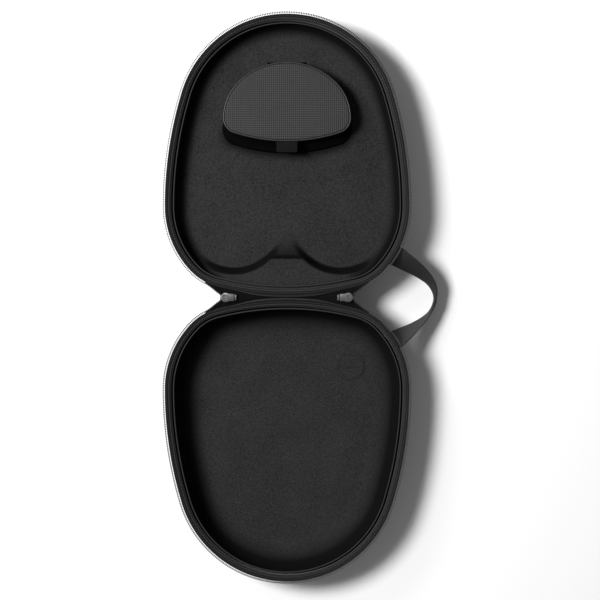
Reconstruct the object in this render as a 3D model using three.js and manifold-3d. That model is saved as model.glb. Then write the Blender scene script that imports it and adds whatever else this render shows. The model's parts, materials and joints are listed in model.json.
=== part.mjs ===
// Headphone carrying case, lying open and flat: two moulded shells on a fabric hinge, a two-slider coil zip,
// a cable pocket in the lid, a sleep magnet under the base lining and a carrying strap across the hinge.
// Millimetres, +Z up. The origin is the middle of the base shell's flat underside. The base lies along -Y
// from the hinge line and the lid along +Y, and the hinge axis runs along X at the height of the parting
// plane.
import * as THREE from "three";
import { mergeVertices } from "three/addons/utils/BufferGeometryUtils.js";
import Module from "manifold-3d";

const wasm = await Module();
wasm.setup();

// ---- driving dimensions ----

// The case. The outline is the outer edge of the zip, the widest line of each half.
const CASE_WIDTH = 190;
const CASE_LENGTH = 218;
const HALF_DEPTH = 38; // from the ground to the parting plane, and so to the hinge axis
const HINGE_SIDE_RADIUS = 218;
const HINGE_SIDE_HEADING = 14.5; // degrees turned where the hinge side meets the corner
const CORNER_RADIUS = 42;
const CORNER_HEADING = 46;
const FLANK_HEADING = 107; // where the long side meets the far end
const PARTING_GAP = 0.15; // each half stays this far from the parting plane and from the hinge line

// Moulded shells.
const SHELL_INSET = 3.4; // from the outline to the shell's outer face at its rim
const SHELL_WALL = 3.2;
const SHELL_RIM_DROP = 3.6; // from the parting plane to the rim's outer corner
const SHELL_RIM_SLOPE = 1.8; // how much lower the rim's inner corner is
const SHELL_RUN = 30; // how far in the wall rounds over into the flat bottom
const SHELL_SQUARENESS = 2.6;
const SKIN_GAP = 0.1; // between layers that are glued together

// Linings.
const LINING = 1.7;
const LID_FLOOR_DROP = 20; // from the parting plane to the lid lining's floor
const LID_WALL_RUN = 12;
const LID_WALL_SQUARENESS = 2.2;
const LID_INSERT_EDGE_GAP = 0.6;

// Moulded saddle between the two ear cup hollows of the lid, near the hinge.
const SADDLE_RISE = 0.86; // share of the lining's depth
const CUP_RADIUS = 36.7; // of the hollow's floor
const CUP_CENTRE_X = 40.4;
const CUP_CENTRE_D = 58.1;
const CUP_WALL_RUN = 4.6;
const SADDLE_FRONT_D = 30; // the saddle is level up to here and slopes down to SADDLE_FOOT_D
const SADDLE_FOOT_D = 49;
const SADDLE_FADE_FROM_X = 42;
const SADDLE_FADE_TO_X = 68;

// Zip.
const COIL_WIDTH = 1.7;
const COIL_HEIGHT = 2.2;
const COIL_START_X = 51.6;
const TAPE_THICKNESS = 0.7;
const TAPE_INSET = 1.9;
const TAPE_LEAN = 0.5; // drop for each millimetre inwards
const TAPE_TOP_DROP = 1.7;
const TAPE_TURN = 0.7; // how far in the turned-down edge runs
const TAPE_SEAM_GAP = 0.2; // between the turned-down edge and the face of the shell's inner wall
const TAPE_TURN_DROP = 1.3;
const PIPING_RADIUS = 0.6;
const PIPING_SIDES = 4;

// Fabric hinge between the two sliders.
const LEAF_HALF_LENGTH = 38;
const LEAF_THICKNESS = 0.8;
const LEAF_DROP_AT_AXIS = 0.3;
const LEAF_DROP_AT_TAPE = 1.2;
const LEAF_TAPE_GAP = 0.35;

// Zip end stops, sliders and pulls.
const STOP_GAP = 0.3;
const STOP_LENGTH = 1.6;
const STOP_WIDTH = 4.4;
const STOP_HEIGHT = 2.4;
const SLIDER_LENGTH = 10.8;
const SLIDER_WIDTH = 7.2;
const SLIDER_REAR_WIDTH = 5.3;
const SLIDER_SHOULDER = 6.1; // from the rear end to the widest place
const SLIDER_WAIST = 3.4; // from the rear end to the narrow waist, where the flanges stop
const SLIDER_WAIST_WIDTH = 5.6;
const SLIDER_NOSE_START = 7.8; // from the rear end to where the nose begins to taper
const SLIDER_NOSE_WIDTH = 6.8;
const SLIDER_TIP = 0.5; // length of the blunt tip
const SLIDER_TIP_WIDTH = 2;
const SLIDER_WEDGE_START = 5.7; // from the rear end
const SLIDER_WEDGE_WIDTH = 2.2;
const SLIDER_WEDGE_WIDEST = 9.2; // from the rear end
const SLIDER_BITE = 0.1; // how far pieces of the one casting run into each other
const SLIDER_GROOVE_START = 5.7; // from the rear end
const SLIDER_GROOVE_SPACING = 2.2;
const SLIDER_PLATE = 1.0;
const SLIDER_CHANNEL = 2.6;
const SLIDER_FLANGE = 0.7;
const SLIDER_TAPE_SLOT = 1.2;
const SLIDER_GROOVE_LENGTH = 2.6;
const SLIDER_GROOVE_WIDTH = 0.5;
const SLIDER_GROOVE_DEPTH = 0.35;
const BRIDGE_LENGTH = 5.6;
const BRIDGE_WIDTH = 1.6;
const BRIDGE_LEG = 1.0;
const BRIDGE_OPENING = 1.9;
const BRIDGE_TOP = 0.9;
const PULL_LENGTH = 20;
const PULL_WIDTH = 5.6;
const PULL_THICKNESS = 1.2;
const PULL_BAR = 1.1;
const PULL_WINDOW_LENGTH = 3.0;
const PULL_WINDOW_WIDTH = 2.8;
const PULL_GRIP_HOLE = 1.2;

// Cable pocket in the lid: a D-shaped tray with a hinged lid.
const POCKET_HALF_WIDTH = 49;
const POCKET_LENGTH = 61;
const POCKET_FRONT_D = 119; // from the hinge line to the middle of the pocket's front edge
const POCKET_FRONT_HEADING = 18;
const POCKET_CORNER_RADIUS = 12;
const POCKET_ARCH_HEADING = 135;
const POCKET_LID_THICKNESS = 3.0;
const POCKET_LID_DROP = 4.4; // from the parting plane to the top of the pocket's lid
const POCKET_LID_BEVEL = 0.8;
const POCKET_OVERHANG = 1.4;
const TRAY_WALL = 1.8;
const TRAY_FLOOR = 1.5;
const TRAY_LID_GAP = 0.4;
const TRAY_FLARE = 5; // how far the tray's walls spread at their foot
const TRAY_FLARE_SHARE = 0.41; // share of the wall's height that the flare takes up
const TRAY_FLARE_WAIST = 0.25; // share of the spread left at the top of the flare
const FACING_INSET = 2.6;
const FACING_THICKNESS = 0.6;
const FACING_GAP = 0.1;
const TAB_WIDTH = 16;
const TAB_LENGTH = 8.2;
const TAB_THICKNESS = 1.4;
const TAB_ROOT_FLARE = 1;
const TAB_CORNER = 1;
const POCKET_HINGE_WIDTH = 30;
const POCKET_HINGE_THICKNESS = 0.8;
const POCKET_HINGE_HEIGHT = 5;
const POCKET_HINGE_GAP = 0.3;
const POCKET_MAGNET_LENGTH = 10;
const POCKET_MAGNET_WIDTH = 3;
const POCKET_MAGNET_THICKNESS = 1.2;
const POCKET_MAGNET_GAP = 0.5; // the curved front wall comes this close to the straight magnet at its ends

// Sleep magnet under the base lining.
const MAGNET_X = 48.6;
const MAGNET_D = 52.7;
const MAGNET_RADIUS = 7.6;
const MAGNET_THICKNESS = 2;
const HOLDER_RADIUS = 10.2;
const HOLDER_CLEARANCE = 0.15;

// Carrying strap. It leaves the seam at the rim, falls and turns on its edge as it goes out, and crosses the
// hinge line standing. The lid's half of the strap is the same route across the hinge line.
const STRAP_WIDTH = 16;
const STRAP_THICKNESS = 1.6;
const STRAP_ROOT_INSET = 12.4; // from the case's widest line
const STRAP_ROOT_D = 32.1;
const STRAP_ROOT_DROP = 5.8; // from the parting plane
const STRAP_ROOT_TILT = 12; // degrees of its width from level
const STRAP_ROOT_HEADING = 35; // degrees from straight out, towards the hinge line
const STRAP_ROOT_FALL = 11.5; // degrees
const STRAP_ROOT_PULL = 14;
const STRAP_REACH = 19.6; // from the case's widest line to its middle at the hinge line
const STRAP_MIDDLE_DROP = 29.2; // from the parting plane
const STRAP_MIDDLE_GAP = 0.25; // from the hinge line to the half's end
const STRAP_MIDDLE_PULL = 15;
const STRAP_STEPS = 10;

// ---- worked-out places ----

const DEG = Math.PI / 180;
const HINGE_Y = CASE_LENGTH / 2;
const PARTING_Z = HALF_DEPTH;
const HALF_TOP_Z = PARTING_Z - PARTING_GAP;
const SHELL_RIM_Z = PARTING_Z - SHELL_RIM_DROP;
const SHELL_INNER_RIM_Z = SHELL_RIM_Z - SHELL_RIM_SLOPE;
const SHELL_CORNER_INSET = SHELL_INSET + SHELL_RUN; // the flat bottom starts here
const SHELL_INNER_INSET = SHELL_INSET + SHELL_WALL;
const TAPE_WIDTH = SHELL_INNER_INSET - TAPE_SEAM_GAP - TAPE_TURN - TAPE_INSET;
const LINING_EDGE_Z = SHELL_INNER_RIM_Z + SKIN_GAP;
const LINING_OUTER_INSET = SHELL_INNER_INSET + SKIN_GAP;
const LINING_INNER_INSET = LINING_OUTER_INSET + LINING;
const LINING_UNDER_Z = SHELL_WALL + SKIN_GAP;
const LID_FLOOR_Z = PARTING_Z - LID_FLOOR_DROP;
const LEAF_END_X = LEAF_HALF_LENGTH + STOP_GAP;
const SLIDER_REAR_X = LEAF_END_X + STOP_LENGTH + STOP_GAP;
const POCKET_LID_TOP_Z = PARTING_Z - POCKET_LID_DROP;
const POCKET_LID_UNDER_Z = POCKET_LID_TOP_Z - POCKET_LID_THICKNESS;
const TRAY_UNDER_Z = LID_FLOOR_Z + SKIN_GAP;
const TRAY_TOP_Z = POCKET_LID_UNDER_Z - TRAY_LID_GAP;

const ROUND_STEP = 12; // degrees between points on a tight arc
const LONG_STEP = 21; // millimetres between points on a gentle one
const MOST_ROUND_STEPS = 6; // in one arc, where its length asks for no more
const WALL_STEPS = 5; // rings down a wall

// ---- outlines made of tangent arcs ----

// A convex outline, the same on both sides of x = 0, as tangent arcs. Each arc is [radius, heading where it
// ends]. Heading 0 runs along +x through (0, 0), and heading 180 comes back through the far end.
function arcOutline(arcs) {
  const parts = [];
  let start = new THREE.Vector2(0, 0);
  let from = 0;
  for (const [radius, toDegrees] of arcs) {
    const to = toDegrees * DEG;
    const centre = new THREE.Vector2(start.x - radius * Math.sin(from), start.y + radius * Math.cos(from));
    parts.push({ radius, from, to, centre });
    start = new THREE.Vector2(centre.x + radius * Math.sin(to), centre.y - radius * Math.cos(to));
    from = to;
  }
  const half = (heading, inset) => {
    const arc = parts.find((p) => heading <= p.to + 1e-9) ?? parts[parts.length - 1];
    const r = arc.radius - inset;
    return [arc.centre.x + r * Math.sin(heading), arc.centre.y - r * Math.cos(heading)];
  };
  // The point at a heading in radians, moved inwards by inset.
  const at = (heading, inset = 0) => {
    if (heading <= Math.PI) return half(heading, inset);
    const [x, d] = half(2 * Math.PI - heading, inset);
    return [-x, d];
  };
  // Headings once round, closer together where the outline is tighter, with one more on each side.
  const headings = (extra) => {
    const right = [0];
    for (const { radius, from: a, to: b } of parts) {
      const byTurn = Math.min((b - a) / (ROUND_STEP * DEG), MOST_ROUND_STEPS);
      const steps = Math.ceil(Math.max((radius * (b - a)) / LONG_STEP, byTurn));
      for (let k = 1; k <= steps; k++) right.push(a + ((b - a) * k) / steps);
    }
    if (extra) {
      const after = right.findIndex((h) => h > extra);
      right.splice(after, 0, extra);
    }
    const left = right.slice(1, -1).map((h) => 2 * Math.PI - h);
    return [...right, ...left.reverse()];
  };
  // The heading, on the right-hand half, where the outline first reaches x.
  const headingAtX = (x) => {
    const arc = parts.find((p) => p.centre.x + p.radius * Math.sin(p.to) >= x);
    return Math.asin((x - arc.centre.x) / arc.radius);
  };
  return { at, headings, headingAtX };
}

// The outline of each half. The last three radii follow from its width and length.
function caseOutline() {
  const [s1, s2, s4] = [HINGE_SIDE_HEADING, CORNER_HEADING, FLANK_HEADING].map((h) => Math.sin(h * DEG));
  const [c1, c2, c4] = [HINGE_SIDE_HEADING, CORNER_HEADING, FLANK_HEADING].map((h) => Math.cos(h * DEG));
  const halfWidth = CASE_WIDTH / 2;
  const shoulder = (halfWidth - HINGE_SIDE_RADIUS * s1 - CORNER_RADIUS * (s2 - s1)) / (1 - s2);
  const front = HINGE_SIDE_RADIUS * (1 - c1) + CORNER_RADIUS * (c1 - c2) + shoulder * c2;
  const rest = CASE_LENGTH - front;
  // halfWidth = flank (1 - s4) + end s4, and rest = -flank c4 + end (1 + c4)
  const flank = (rest * s4 - halfWidth * (1 + c4)) / (-c4 * s4 - (1 - s4) * (1 + c4));
  const end = (halfWidth - flank * (1 - s4)) / s4;
  return arcOutline([
    [HINGE_SIDE_RADIUS, HINGE_SIDE_HEADING],
    [CORNER_RADIUS, CORNER_HEADING],
    [shoulder, 90],
    [flank, FLANK_HEADING],
    [end, 180],
  ]);
}

// The pocket's D, with its front edge through (0, 0). Its front radius follows from its width, and its two
// arch radii from its width and length.
function pocketOutline() {
  const s1 = Math.sin(POCKET_FRONT_HEADING * DEG);
  const c1 = Math.cos(POCKET_FRONT_HEADING * DEG);
  const s3 = Math.sin(POCKET_ARCH_HEADING * DEG);
  const c3 = Math.cos(POCKET_ARCH_HEADING * DEG);
  const front = (POCKET_HALF_WIDTH - POCKET_CORNER_RADIUS * (1 - s1)) / s1;
  const rest = POCKET_LENGTH - front * (1 - c1) - POCKET_CORNER_RADIUS * c1;
  const side = (rest * s3 - POCKET_HALF_WIDTH * (1 + c3)) / (-c3 * s3 - (1 - s3) * (1 + c3));
  const top = (POCKET_HALF_WIDTH - side * (1 - s3)) / s3;
  return arcOutline([
    [front, POCKET_FRONT_HEADING],
    [POCKET_CORNER_RADIUS, 90],
    [side, POCKET_ARCH_HEADING],
    [top, 180],
  ]);
}

const outline = caseOutline();
const pocket = pocketOutline();
const coilStart = outline.headingAtX(COIL_START_X);
const rimHeadings = outline.headings(coilStart);
const pocketHeadings = pocket.headings();

// ---- solids from grids of points ----

// A closed solid whose skin is a grid: each row is a closed loop of [x, y, z] points, and each row joins the
// next. The rows close on themselves, or the first and last are closed by a fan about their middle.
function gridSolid(rows, { closed = false } = {}) {
  const width = rows[0].length;
  const positions = rows.flat(2);
  const index = [];
  const last = closed ? rows.length : rows.length - 1;
  for (let r = 0; r < last; r++) {
    const next = (r + 1) % rows.length;
    for (let c = 0; c < width; c++) {
      const right = (c + 1) % width;
      const [a, b] = [r * width + c, r * width + right];
      const [e, f] = [next * width + c, next * width + right];
      index.push(a, b, f, a, f, e);
    }
  }
  if (!closed) {
    for (const [r, turned] of [[0, true], [rows.length - 1, false]]) {
      const middle = [0, 1, 2].map((k) => rows[r].reduce((sum, p) => sum + p[k], 0) / width);
      const hub = positions.length / 3;
      positions.push(...middle);
      for (let c = 0; c < width; c++) {
        const [a, b] = [r * width + c, r * width + ((c + 1) % width)];
        index.push(...(turned ? [hub, b, a] : [hub, a, b]));
      }
    }
  }
  return outwards(positions, index);
}

// The geometry with its faces pointing out.
function outwards(positions, index) {
  let volume = 0;
  const p = (i) => new THREE.Vector3().fromArray(positions, 3 * i);
  for (let i = 0; i < index.length; i += 3) {
    volume += p(index[i]).dot(p(index[i + 1]).cross(p(index[i + 2])));
  }
  if (volume < 0) index.reverse();
  const geometry = new THREE.BufferGeometry();
  geometry.setAttribute("position", new THREE.Float32BufferAttribute(positions, 3));
  geometry.setIndex(index);
  return geometry;
}

// A ring of the case outline at an inset and a height.
const rimRing = (inset, z) => rimHeadings.map((h) => [...outline.at(h, inset), z]);

// A bowl: rings of [inset, z] from the middle of the outer skin, over the rim, to the middle of the inner
// one.
const bowl = (profile) => gridSolid(profile.map(([inset, z]) => rimRing(inset, z)));

// A band that follows the whole outline with one cross-section of [inset, z] points.
const loopBand = (section) => {
  const rows = rimHeadings.map((h) => section.map(([inset, z]) => [...outline.at(h, inset), z]));
  return gridSolid(rows, { closed: true });
};

// Points down a wall that rounds over into a floor: a quarter of a superellipse from [inset, top] at the rim
// to [inset + run, floor].
function roundedWall(inset, run, top, floor, squareness, steps) {
  const points = [];
  for (let k = 0; k <= steps; k++) {
    const t = (k / steps) * (Math.PI / 2);
    const u = Math.cos(t) ** (2 / squareness);
    const v = Math.sin(t) ** (2 / squareness);
    points.push([inset + run * (1 - (k === steps ? 0 : u)), top - (top - floor) * v]);
  }
  return points;
}

// ---- booleans ----

function solidOf(geometry) {
  const bare = geometry.index ? geometry.toNonIndexed() : geometry.clone();
  bare.deleteAttribute("normal");
  bare.deleteAttribute("uv");
  const merged = mergeVertices(bare, 1e-4);
  return new wasm.Manifold(
    new wasm.Mesh({
      numProp: 3,
      vertProperties: merged.attributes.position.array,
      triVerts: new Uint32Array(merged.index.array),
    }),
  );
}

function geometryOf(solid) {
  const mesh = solid.getMesh();
  const geometry = new THREE.BufferGeometry();
  geometry.setAttribute("position", new THREE.BufferAttribute(new Float32Array(mesh.vertProperties), 3));
  geometry.setIndex(new THREE.BufferAttribute(new Uint32Array(mesh.triVerts), 1));
  return geometry;
}

const joined = (...geometries) => geometryOf(geometries.map(solidOf).reduce((a, b) => a.add(b)));
const cut = (geometry, ...tools) =>
  geometryOf(tools.map(solidOf).reduce((a, b) => a.subtract(b), solidOf(geometry)));

function box(x0, x1, y0, y1, z0, z1) {
  const made = new THREE.BoxGeometry(x1 - x0, y1 - y0, z1 - z0);
  return made.translate((x0 + x1) / 2, (y0 + y1) / 2, (z0 + z1) / 2);
}

// A flat plate of an [x, y] outline between two heights.
function plate(points, z0, z1) {
  const shape = new THREE.Shape(points.map(([x, y]) => new THREE.Vector2(x, y)));
  const settings = { depth: z1 - z0, bevelEnabled: false, steps: 1 };
  return new THREE.ExtrudeGeometry(shape, settings).translate(0, 0, z0);
}

function disc(radius, z0, z1, x, y) {
  const made = new THREE.CylinderGeometry(radius, radius, z1 - z0, 32).rotateX(Math.PI / 2);
  return made.translate(x, y, (z0 + z1) / 2);
}

// ---- materials and nodes ----

const COLOURS = {
  shell: [0x1b1b1c, 0.75, 0],
  lining: [0x242425, 0.95, 0],
  foam: [0x1e1e1e, 0.95, 0],
  tape: [0x2c2c2d, 0.9, 0],
  coil: [0x4a4a4b, 0.5, 0],
  strap: [0x2e2e2f, 0.7, 0],
  metal: [0x8f8f90, 0.4, 0.8],
  mesh: [0x3a3a3b, 0.8, 0],
  magnet: [0x9a9a9a, 0.3, 1],
};
const finishes = Object.fromEntries(
  Object.entries(COLOURS).map(([name, [color, roughness, metalness]]) => [
    name,
    new THREE.MeshStandardMaterial({ color, roughness, metalness }),
  ]),
);

function node(name, geometry, finish) {
  const mesh = new THREE.Mesh(geometry, finishes[finish]);
  mesh.name = name;
  return mesh;
}

// ---- pieces that both halves have, in a half's own frame: x, d away from the hinge line, z up ----

function shellProfiles() {
  const run = SHELL_RUN - SHELL_WALL;
  const [rim, bottom] = [SHELL_INNER_RIM_Z, SHELL_WALL];
  const outer = roundedWall(SHELL_INSET, SHELL_RUN, SHELL_RIM_Z, 0, SHELL_SQUARENESS, WALL_STEPS);
  const inner = roundedWall(SHELL_INNER_INSET, run, rim, bottom, SHELL_SQUARENESS, WALL_STEPS);
  return { outer, inner };
}

function shell() {
  const { outer, inner } = shellProfiles();
  return bowl([...outer.reverse(), ...inner]);
}

function zipTape() {
  const top = PARTING_Z - TAPE_TOP_DROP;
  const bend = top - TAPE_WIDTH * TAPE_LEAN;
  const turned = TAPE_INSET + TAPE_WIDTH + TAPE_TURN;
  return loopBand([
    [TAPE_INSET, top],
    [TAPE_INSET + TAPE_WIDTH, bend],
    [turned, bend - TAPE_TURN_DROP + TAPE_THICKNESS],
    [turned, bend - TAPE_TURN_DROP],
    [TAPE_INSET + TAPE_WIDTH - TAPE_THICKNESS / 2, bend - TAPE_THICKNESS],
    [TAPE_INSET, top - TAPE_THICKNESS],
  ]);
}

// The coil runs from slider to slider round the far end, so it stops short of the hinge.
function zipCoil() {
  const nearly = 1e-6;
  const route = rimHeadings.filter((h) => h > coilStart - nearly && h < 2 * Math.PI - coilStart + nearly);
  const section = [
    [0, HALF_TOP_Z - COIL_HEIGHT / 2],
    [COIL_WIDTH * 0.4, HALF_TOP_Z],
    [COIL_WIDTH, HALF_TOP_Z],
    [COIL_WIDTH, HALF_TOP_Z - COIL_HEIGHT],
    [COIL_WIDTH * 0.4, HALF_TOP_Z - COIL_HEIGHT],
  ];
  return gridSolid(route.map((h) => section.map(([inset, z]) => [...outline.at(h, inset), z])));
}

function rimPiping() {
  const inset = LINING_INNER_INSET - PIPING_RADIUS / 2;
  const z = LINING_EDGE_Z + SKIN_GAP + PIPING_RADIUS;
  const section = [];
  for (let k = 0; k < PIPING_SIDES; k++) {
    const a = (k / PIPING_SIDES) * 2 * Math.PI;
    section.push([inset + PIPING_RADIUS * Math.cos(a), z + PIPING_RADIUS * Math.sin(a)]);
  }
  return loopBand(section);
}

// Half of the fabric hinge: from the straight hinge line down to the edge of the zip tape.
function hingeLeaf() {
  const stations = 9;
  const rows = [];
  for (let k = 0; k < stations; k++) {
    const x = LEAF_HALF_LENGTH * ((2 * k) / (stations - 1) - 1);
    const heading = outline.headingAtX(Math.abs(x));
    const [, d] = outline.at(heading, TAPE_INSET - LEAF_TAPE_GAP);
    const high = PARTING_Z - LEAF_DROP_AT_AXIS;
    const low = PARTING_Z - LEAF_DROP_AT_TAPE;
    rows.push([
      [x, PARTING_GAP, high],
      [x, d, low],
      [x, d, low - LEAF_THICKNESS],
      [x, PARTING_GAP, high - LEAF_THICKNESS],
    ]);
  }
  return gridSolid(rows);
}

// Half of the carrying strap, from the seam at the rim to the hinge line, where it stands on its edge.
function strapHalf() {
  const edge = CASE_WIDTH / 2;
  const root = new THREE.Vector3(edge - STRAP_ROOT_INSET, STRAP_ROOT_D, PARTING_Z - STRAP_ROOT_DROP);
  const middle = new THREE.Vector3(edge + STRAP_REACH, STRAP_MIDDLE_GAP, PARTING_Z - STRAP_MIDDLE_DROP);
  const level = Math.cos(STRAP_ROOT_FALL * DEG);
  const leaving = new THREE.Vector3(
    level * Math.cos(STRAP_ROOT_HEADING * DEG),
    -level * Math.sin(STRAP_ROOT_HEADING * DEG),
    -Math.sin(STRAP_ROOT_FALL * DEG),
  );
  const route = new THREE.CubicBezierCurve3(
    root,
    root.clone().addScaledVector(leaving, STRAP_ROOT_PULL),
    middle.clone().add(new THREE.Vector3(0, STRAP_MIDDLE_PULL, 0)),
    middle,
  );
  const rows = [];
  for (let k = 0; k <= STRAP_STEPS; k++) {
    const t = k / STRAP_STEPS;
    const centre = route.getPoint(t);
    const along = route.getTangent(t);
    const side = new THREE.Vector3(0, 0, 1).cross(along).normalize();
    const tilt = (STRAP_ROOT_TILT + (90 - STRAP_ROOT_TILT) * Math.sin((t * Math.PI) / 2)) * DEG;
    // The edge that is further from the hinge line rises as the strap turns on its edge.
    const across = side.multiplyScalar(Math.cos(tilt)).add(new THREE.Vector3(0, 0, Math.sin(tilt)));
    across.addScaledVector(along, -across.dot(along)).normalize();
    const face = new THREE.Vector3().crossVectors(along, across);
    const corner = (w, f) => {
      const moved = centre.clone().addScaledVector(across, (w * STRAP_WIDTH) / 2);
      return moved.addScaledVector(face, (f * STRAP_THICKNESS) / 2).toArray();
    };
    rows.push([corner(-1, -1), corner(1, -1), corner(1, 1), corner(-1, 1)]);
  }
  return gridSolid(rows);
}

// ---- base ----

// The shell's inner wall, moved in and up by a glue gap.
const layerOnShell = () => shellProfiles().inner.map(([inset, z]) => [inset + SKIN_GAP, z + SKIN_GAP]);

function baseLining() {
  const run = SHELL_RUN - SHELL_WALL - LINING;
  const floor = LINING_UNDER_Z + LINING;
  const over = roundedWall(LINING_INNER_INSET, run, LINING_EDGE_Z, floor, SHELL_SQUARENESS, WALL_STEPS);
  return bowl([...layerOnShell().reverse(), ...over]);
}

// The base shell has a round seat for the magnet's holder in its floor.
function baseShell() {
  const depth = MAGNET_THICKNESS + SKIN_GAP;
  const seat = disc(HOLDER_RADIUS + HOLDER_CLEARANCE, SHELL_WALL - depth, SHELL_WALL + 1, MAGNET_X, MAGNET_D);
  return cut(shell(), seat);
}

function magnetHolder() {
  const ring = disc(HOLDER_RADIUS, SHELL_WALL - MAGNET_THICKNESS, SHELL_WALL, MAGNET_X, MAGNET_D);
  const hole = disc(MAGNET_RADIUS + HOLDER_CLEARANCE, 0, SHELL_WALL + 1, MAGNET_X, MAGNET_D);
  return cut(ring, hole);
}

// ---- lid ----

const smooth = (a, b, v) => {
  const t = Math.min(Math.max((v - a) / (b - a), 0), 1);
  return t * t * (3 - 2 * t);
};

// How far the saddle rises at a place on the lid's floor, as a share: it stands outside the two round ear cup
// hollows, slopes down towards the middle of the lid, and fades into the side walls.
function saddle(x, d) {
  const outside = Math.hypot(Math.abs(x) - CUP_CENTRE_X, d - CUP_CENTRE_D) - CUP_RADIUS;
  const slope = 1 - smooth(SADDLE_FRONT_D, SADDLE_FOOT_D, d);
  const fade = 1 - smooth(SADDLE_FADE_FROM_X, SADDLE_FADE_TO_X, Math.abs(x));
  return SADDLE_RISE * smooth(0, CUP_WALL_RUN, outside) * slope * fade;
}

// The rings of the lid's inner surface: out from the middle over the floor, and up the wall to the rim. The
// first are shares of the way out to the floor's first ring, and the next are shares of the way to the wall.
const LID_WALL_STEPS = 4;
const LID_MIDDLE_SHARES = [0.3, 0.62, 0.82, 0.92];
const LID_FLOOR_SHARES = [0, 0.3, 0.6, 0.8];
function lidSurface(outward, down) {
  const wall = roundedWall(0, LID_WALL_RUN, 1, 0, LID_WALL_SQUARENESS, LID_WALL_STEPS);
  const floorInset = LINING_INNER_INSET + LID_WALL_RUN;
  const toFloor = SHELL_CORNER_INSET - floorInset;
  const insets = LID_FLOOR_SHARES.map((share) => SHELL_CORNER_INSET - toFloor * share);
  const heights = [...insets.map(() => 0), ...wall.map(([, share]) => share).reverse()];
  insets.push(...wall.map(([run]) => LINING_INNER_INSET + run).reverse());
  const depth = LINING_EDGE_Z - LID_FLOOR_Z;
  const middle = new THREE.Vector2(0, CASE_LENGTH / 2);
  const place = (h, inset, scale) => new THREE.Vector2(...outline.at(h, inset)).lerp(middle, 1 - scale);
  const ring = (inset, height, scale) =>
    rimHeadings.map((h) => {
      const over = place(h, inset, scale);
      const share = 1 - (1 - height) * (1 - saddle(over.x, over.y));
      const moved = place(h, inset - outward, scale);
      return [moved.x, moved.y, LID_FLOOR_Z + depth * share - down];
    });
  return [
    ...LID_MIDDLE_SHARES.map((scale) => ring(insets[0], 0, scale)),
    ...insets.map((inset, k) => ring(inset, heights[k], 1)),
  ];
}

// The lid lining's underside keeps clear of the shell by being this much further out and down.
const LID_LINING_SHIFT = LINING - LID_INSERT_EDGE_GAP;

function lidLining() {
  return gridSolid([...lidSurface(0, 0), ...lidSurface(LID_LINING_SHIFT, LINING).reverse()]);
}

// Foam that fills the space between the lid's shell and its lining.
function lidInsert() {
  const top = lidSurface(LID_LINING_SHIFT + SKIN_GAP, LINING + SKIN_GAP);
  const edge = LINING_EDGE_Z - LINING - SKIN_GAP;
  const [rim, next, ...rest] = layerOnShell();
  const share = (rim[1] - edge) / (rim[1] - next[1]);
  const start = [rim[0] + (next[0] - rim[0]) * share, edge];
  const under = [start, next, ...rest].map(([inset, z]) => rimRing(inset, z));
  return gridSolid([...under.reverse(), ...top.reverse()]);
}

const pocketRing = (inset, z) =>
  pocketHeadings.map((h) => {
    const [x, d] = pocket.at(h, inset);
    return [x, POCKET_FRONT_D + d, z];
  });

function pocketTray() {
  const outer = POCKET_OVERHANG;
  const inner = POCKET_OVERHANG + TRAY_WALL;
  const floor = TRAY_UNDER_Z + TRAY_FLOOR;
  const waistZ = TRAY_UNDER_Z + (TRAY_TOP_Z - TRAY_UNDER_Z) * TRAY_FLARE_SHARE;
  return gridSolid([
    pocketRing(outer - TRAY_FLARE, TRAY_UNDER_Z),
    pocketRing(outer - TRAY_FLARE * TRAY_FLARE_WAIST, waistZ),
    pocketRing(outer, TRAY_TOP_Z - POCKET_HINGE_HEIGHT),
    pocketRing(outer, TRAY_TOP_Z),
    pocketRing(inner, TRAY_TOP_Z),
    pocketRing(inner, floor),
  ]);
}

function pocketBoard() {
  const board = gridSolid([
    pocketRing(POCKET_LID_BEVEL, POCKET_LID_UNDER_Z),
    pocketRing(0, POCKET_LID_UNDER_Z + POCKET_LID_BEVEL),
    pocketRing(0, POCKET_LID_TOP_Z - POCKET_LID_BEVEL),
    pocketRing(POCKET_LID_BEVEL, POCKET_LID_TOP_Z),
    pocketRing(FACING_INSET, POCKET_LID_TOP_Z),
    pocketRing(FACING_INSET, POCKET_LID_TOP_Z - FACING_THICKNESS),
  ]);
  const magnetBed = box(
    -POCKET_MAGNET_LENGTH / 2 - HOLDER_CLEARANCE,
    POCKET_MAGNET_LENGTH / 2 + HOLDER_CLEARANCE,
    pocketMagnetD() - HOLDER_CLEARANCE,
    pocketMagnetD() + POCKET_MAGNET_WIDTH + HOLDER_CLEARANCE,
    POCKET_LID_UNDER_Z - 1,
    POCKET_LID_UNDER_Z + POCKET_MAGNET_THICKNESS + SKIN_GAP,
  );
  return cut(board, magnetBed);
}

// The two pocket magnets face each other just behind the tray's front wall.
const pocketMagnetD = () => POCKET_FRONT_D + POCKET_OVERHANG + TRAY_WALL + POCKET_MAGNET_GAP;

function pocketMagnet(z) {
  const d = pocketMagnetD();
  const half = POCKET_MAGNET_LENGTH / 2;
  return box(-half, half, d, d + POCKET_MAGNET_WIDTH, z, z + POCKET_MAGNET_THICKNESS);
}

// The magnet in the tray stands on a ledge of its own height behind the front wall.
function trayMagnet() {
  const d = pocketMagnetD();
  const half = POCKET_MAGNET_LENGTH / 2;
  return box(-half, half, d, d + POCKET_MAGNET_WIDTH, TRAY_UNDER_Z + TRAY_FLOOR + SKIN_GAP, TRAY_TOP_Z);
}

function pocketFacing() {
  const inset = FACING_INSET + FACING_GAP;
  const z = POCKET_LID_TOP_Z - FACING_THICKNESS + SKIN_GAP;
  return gridSolid([pocketRing(inset, z), pocketRing(inset, z + FACING_THICKNESS)]);
}

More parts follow.
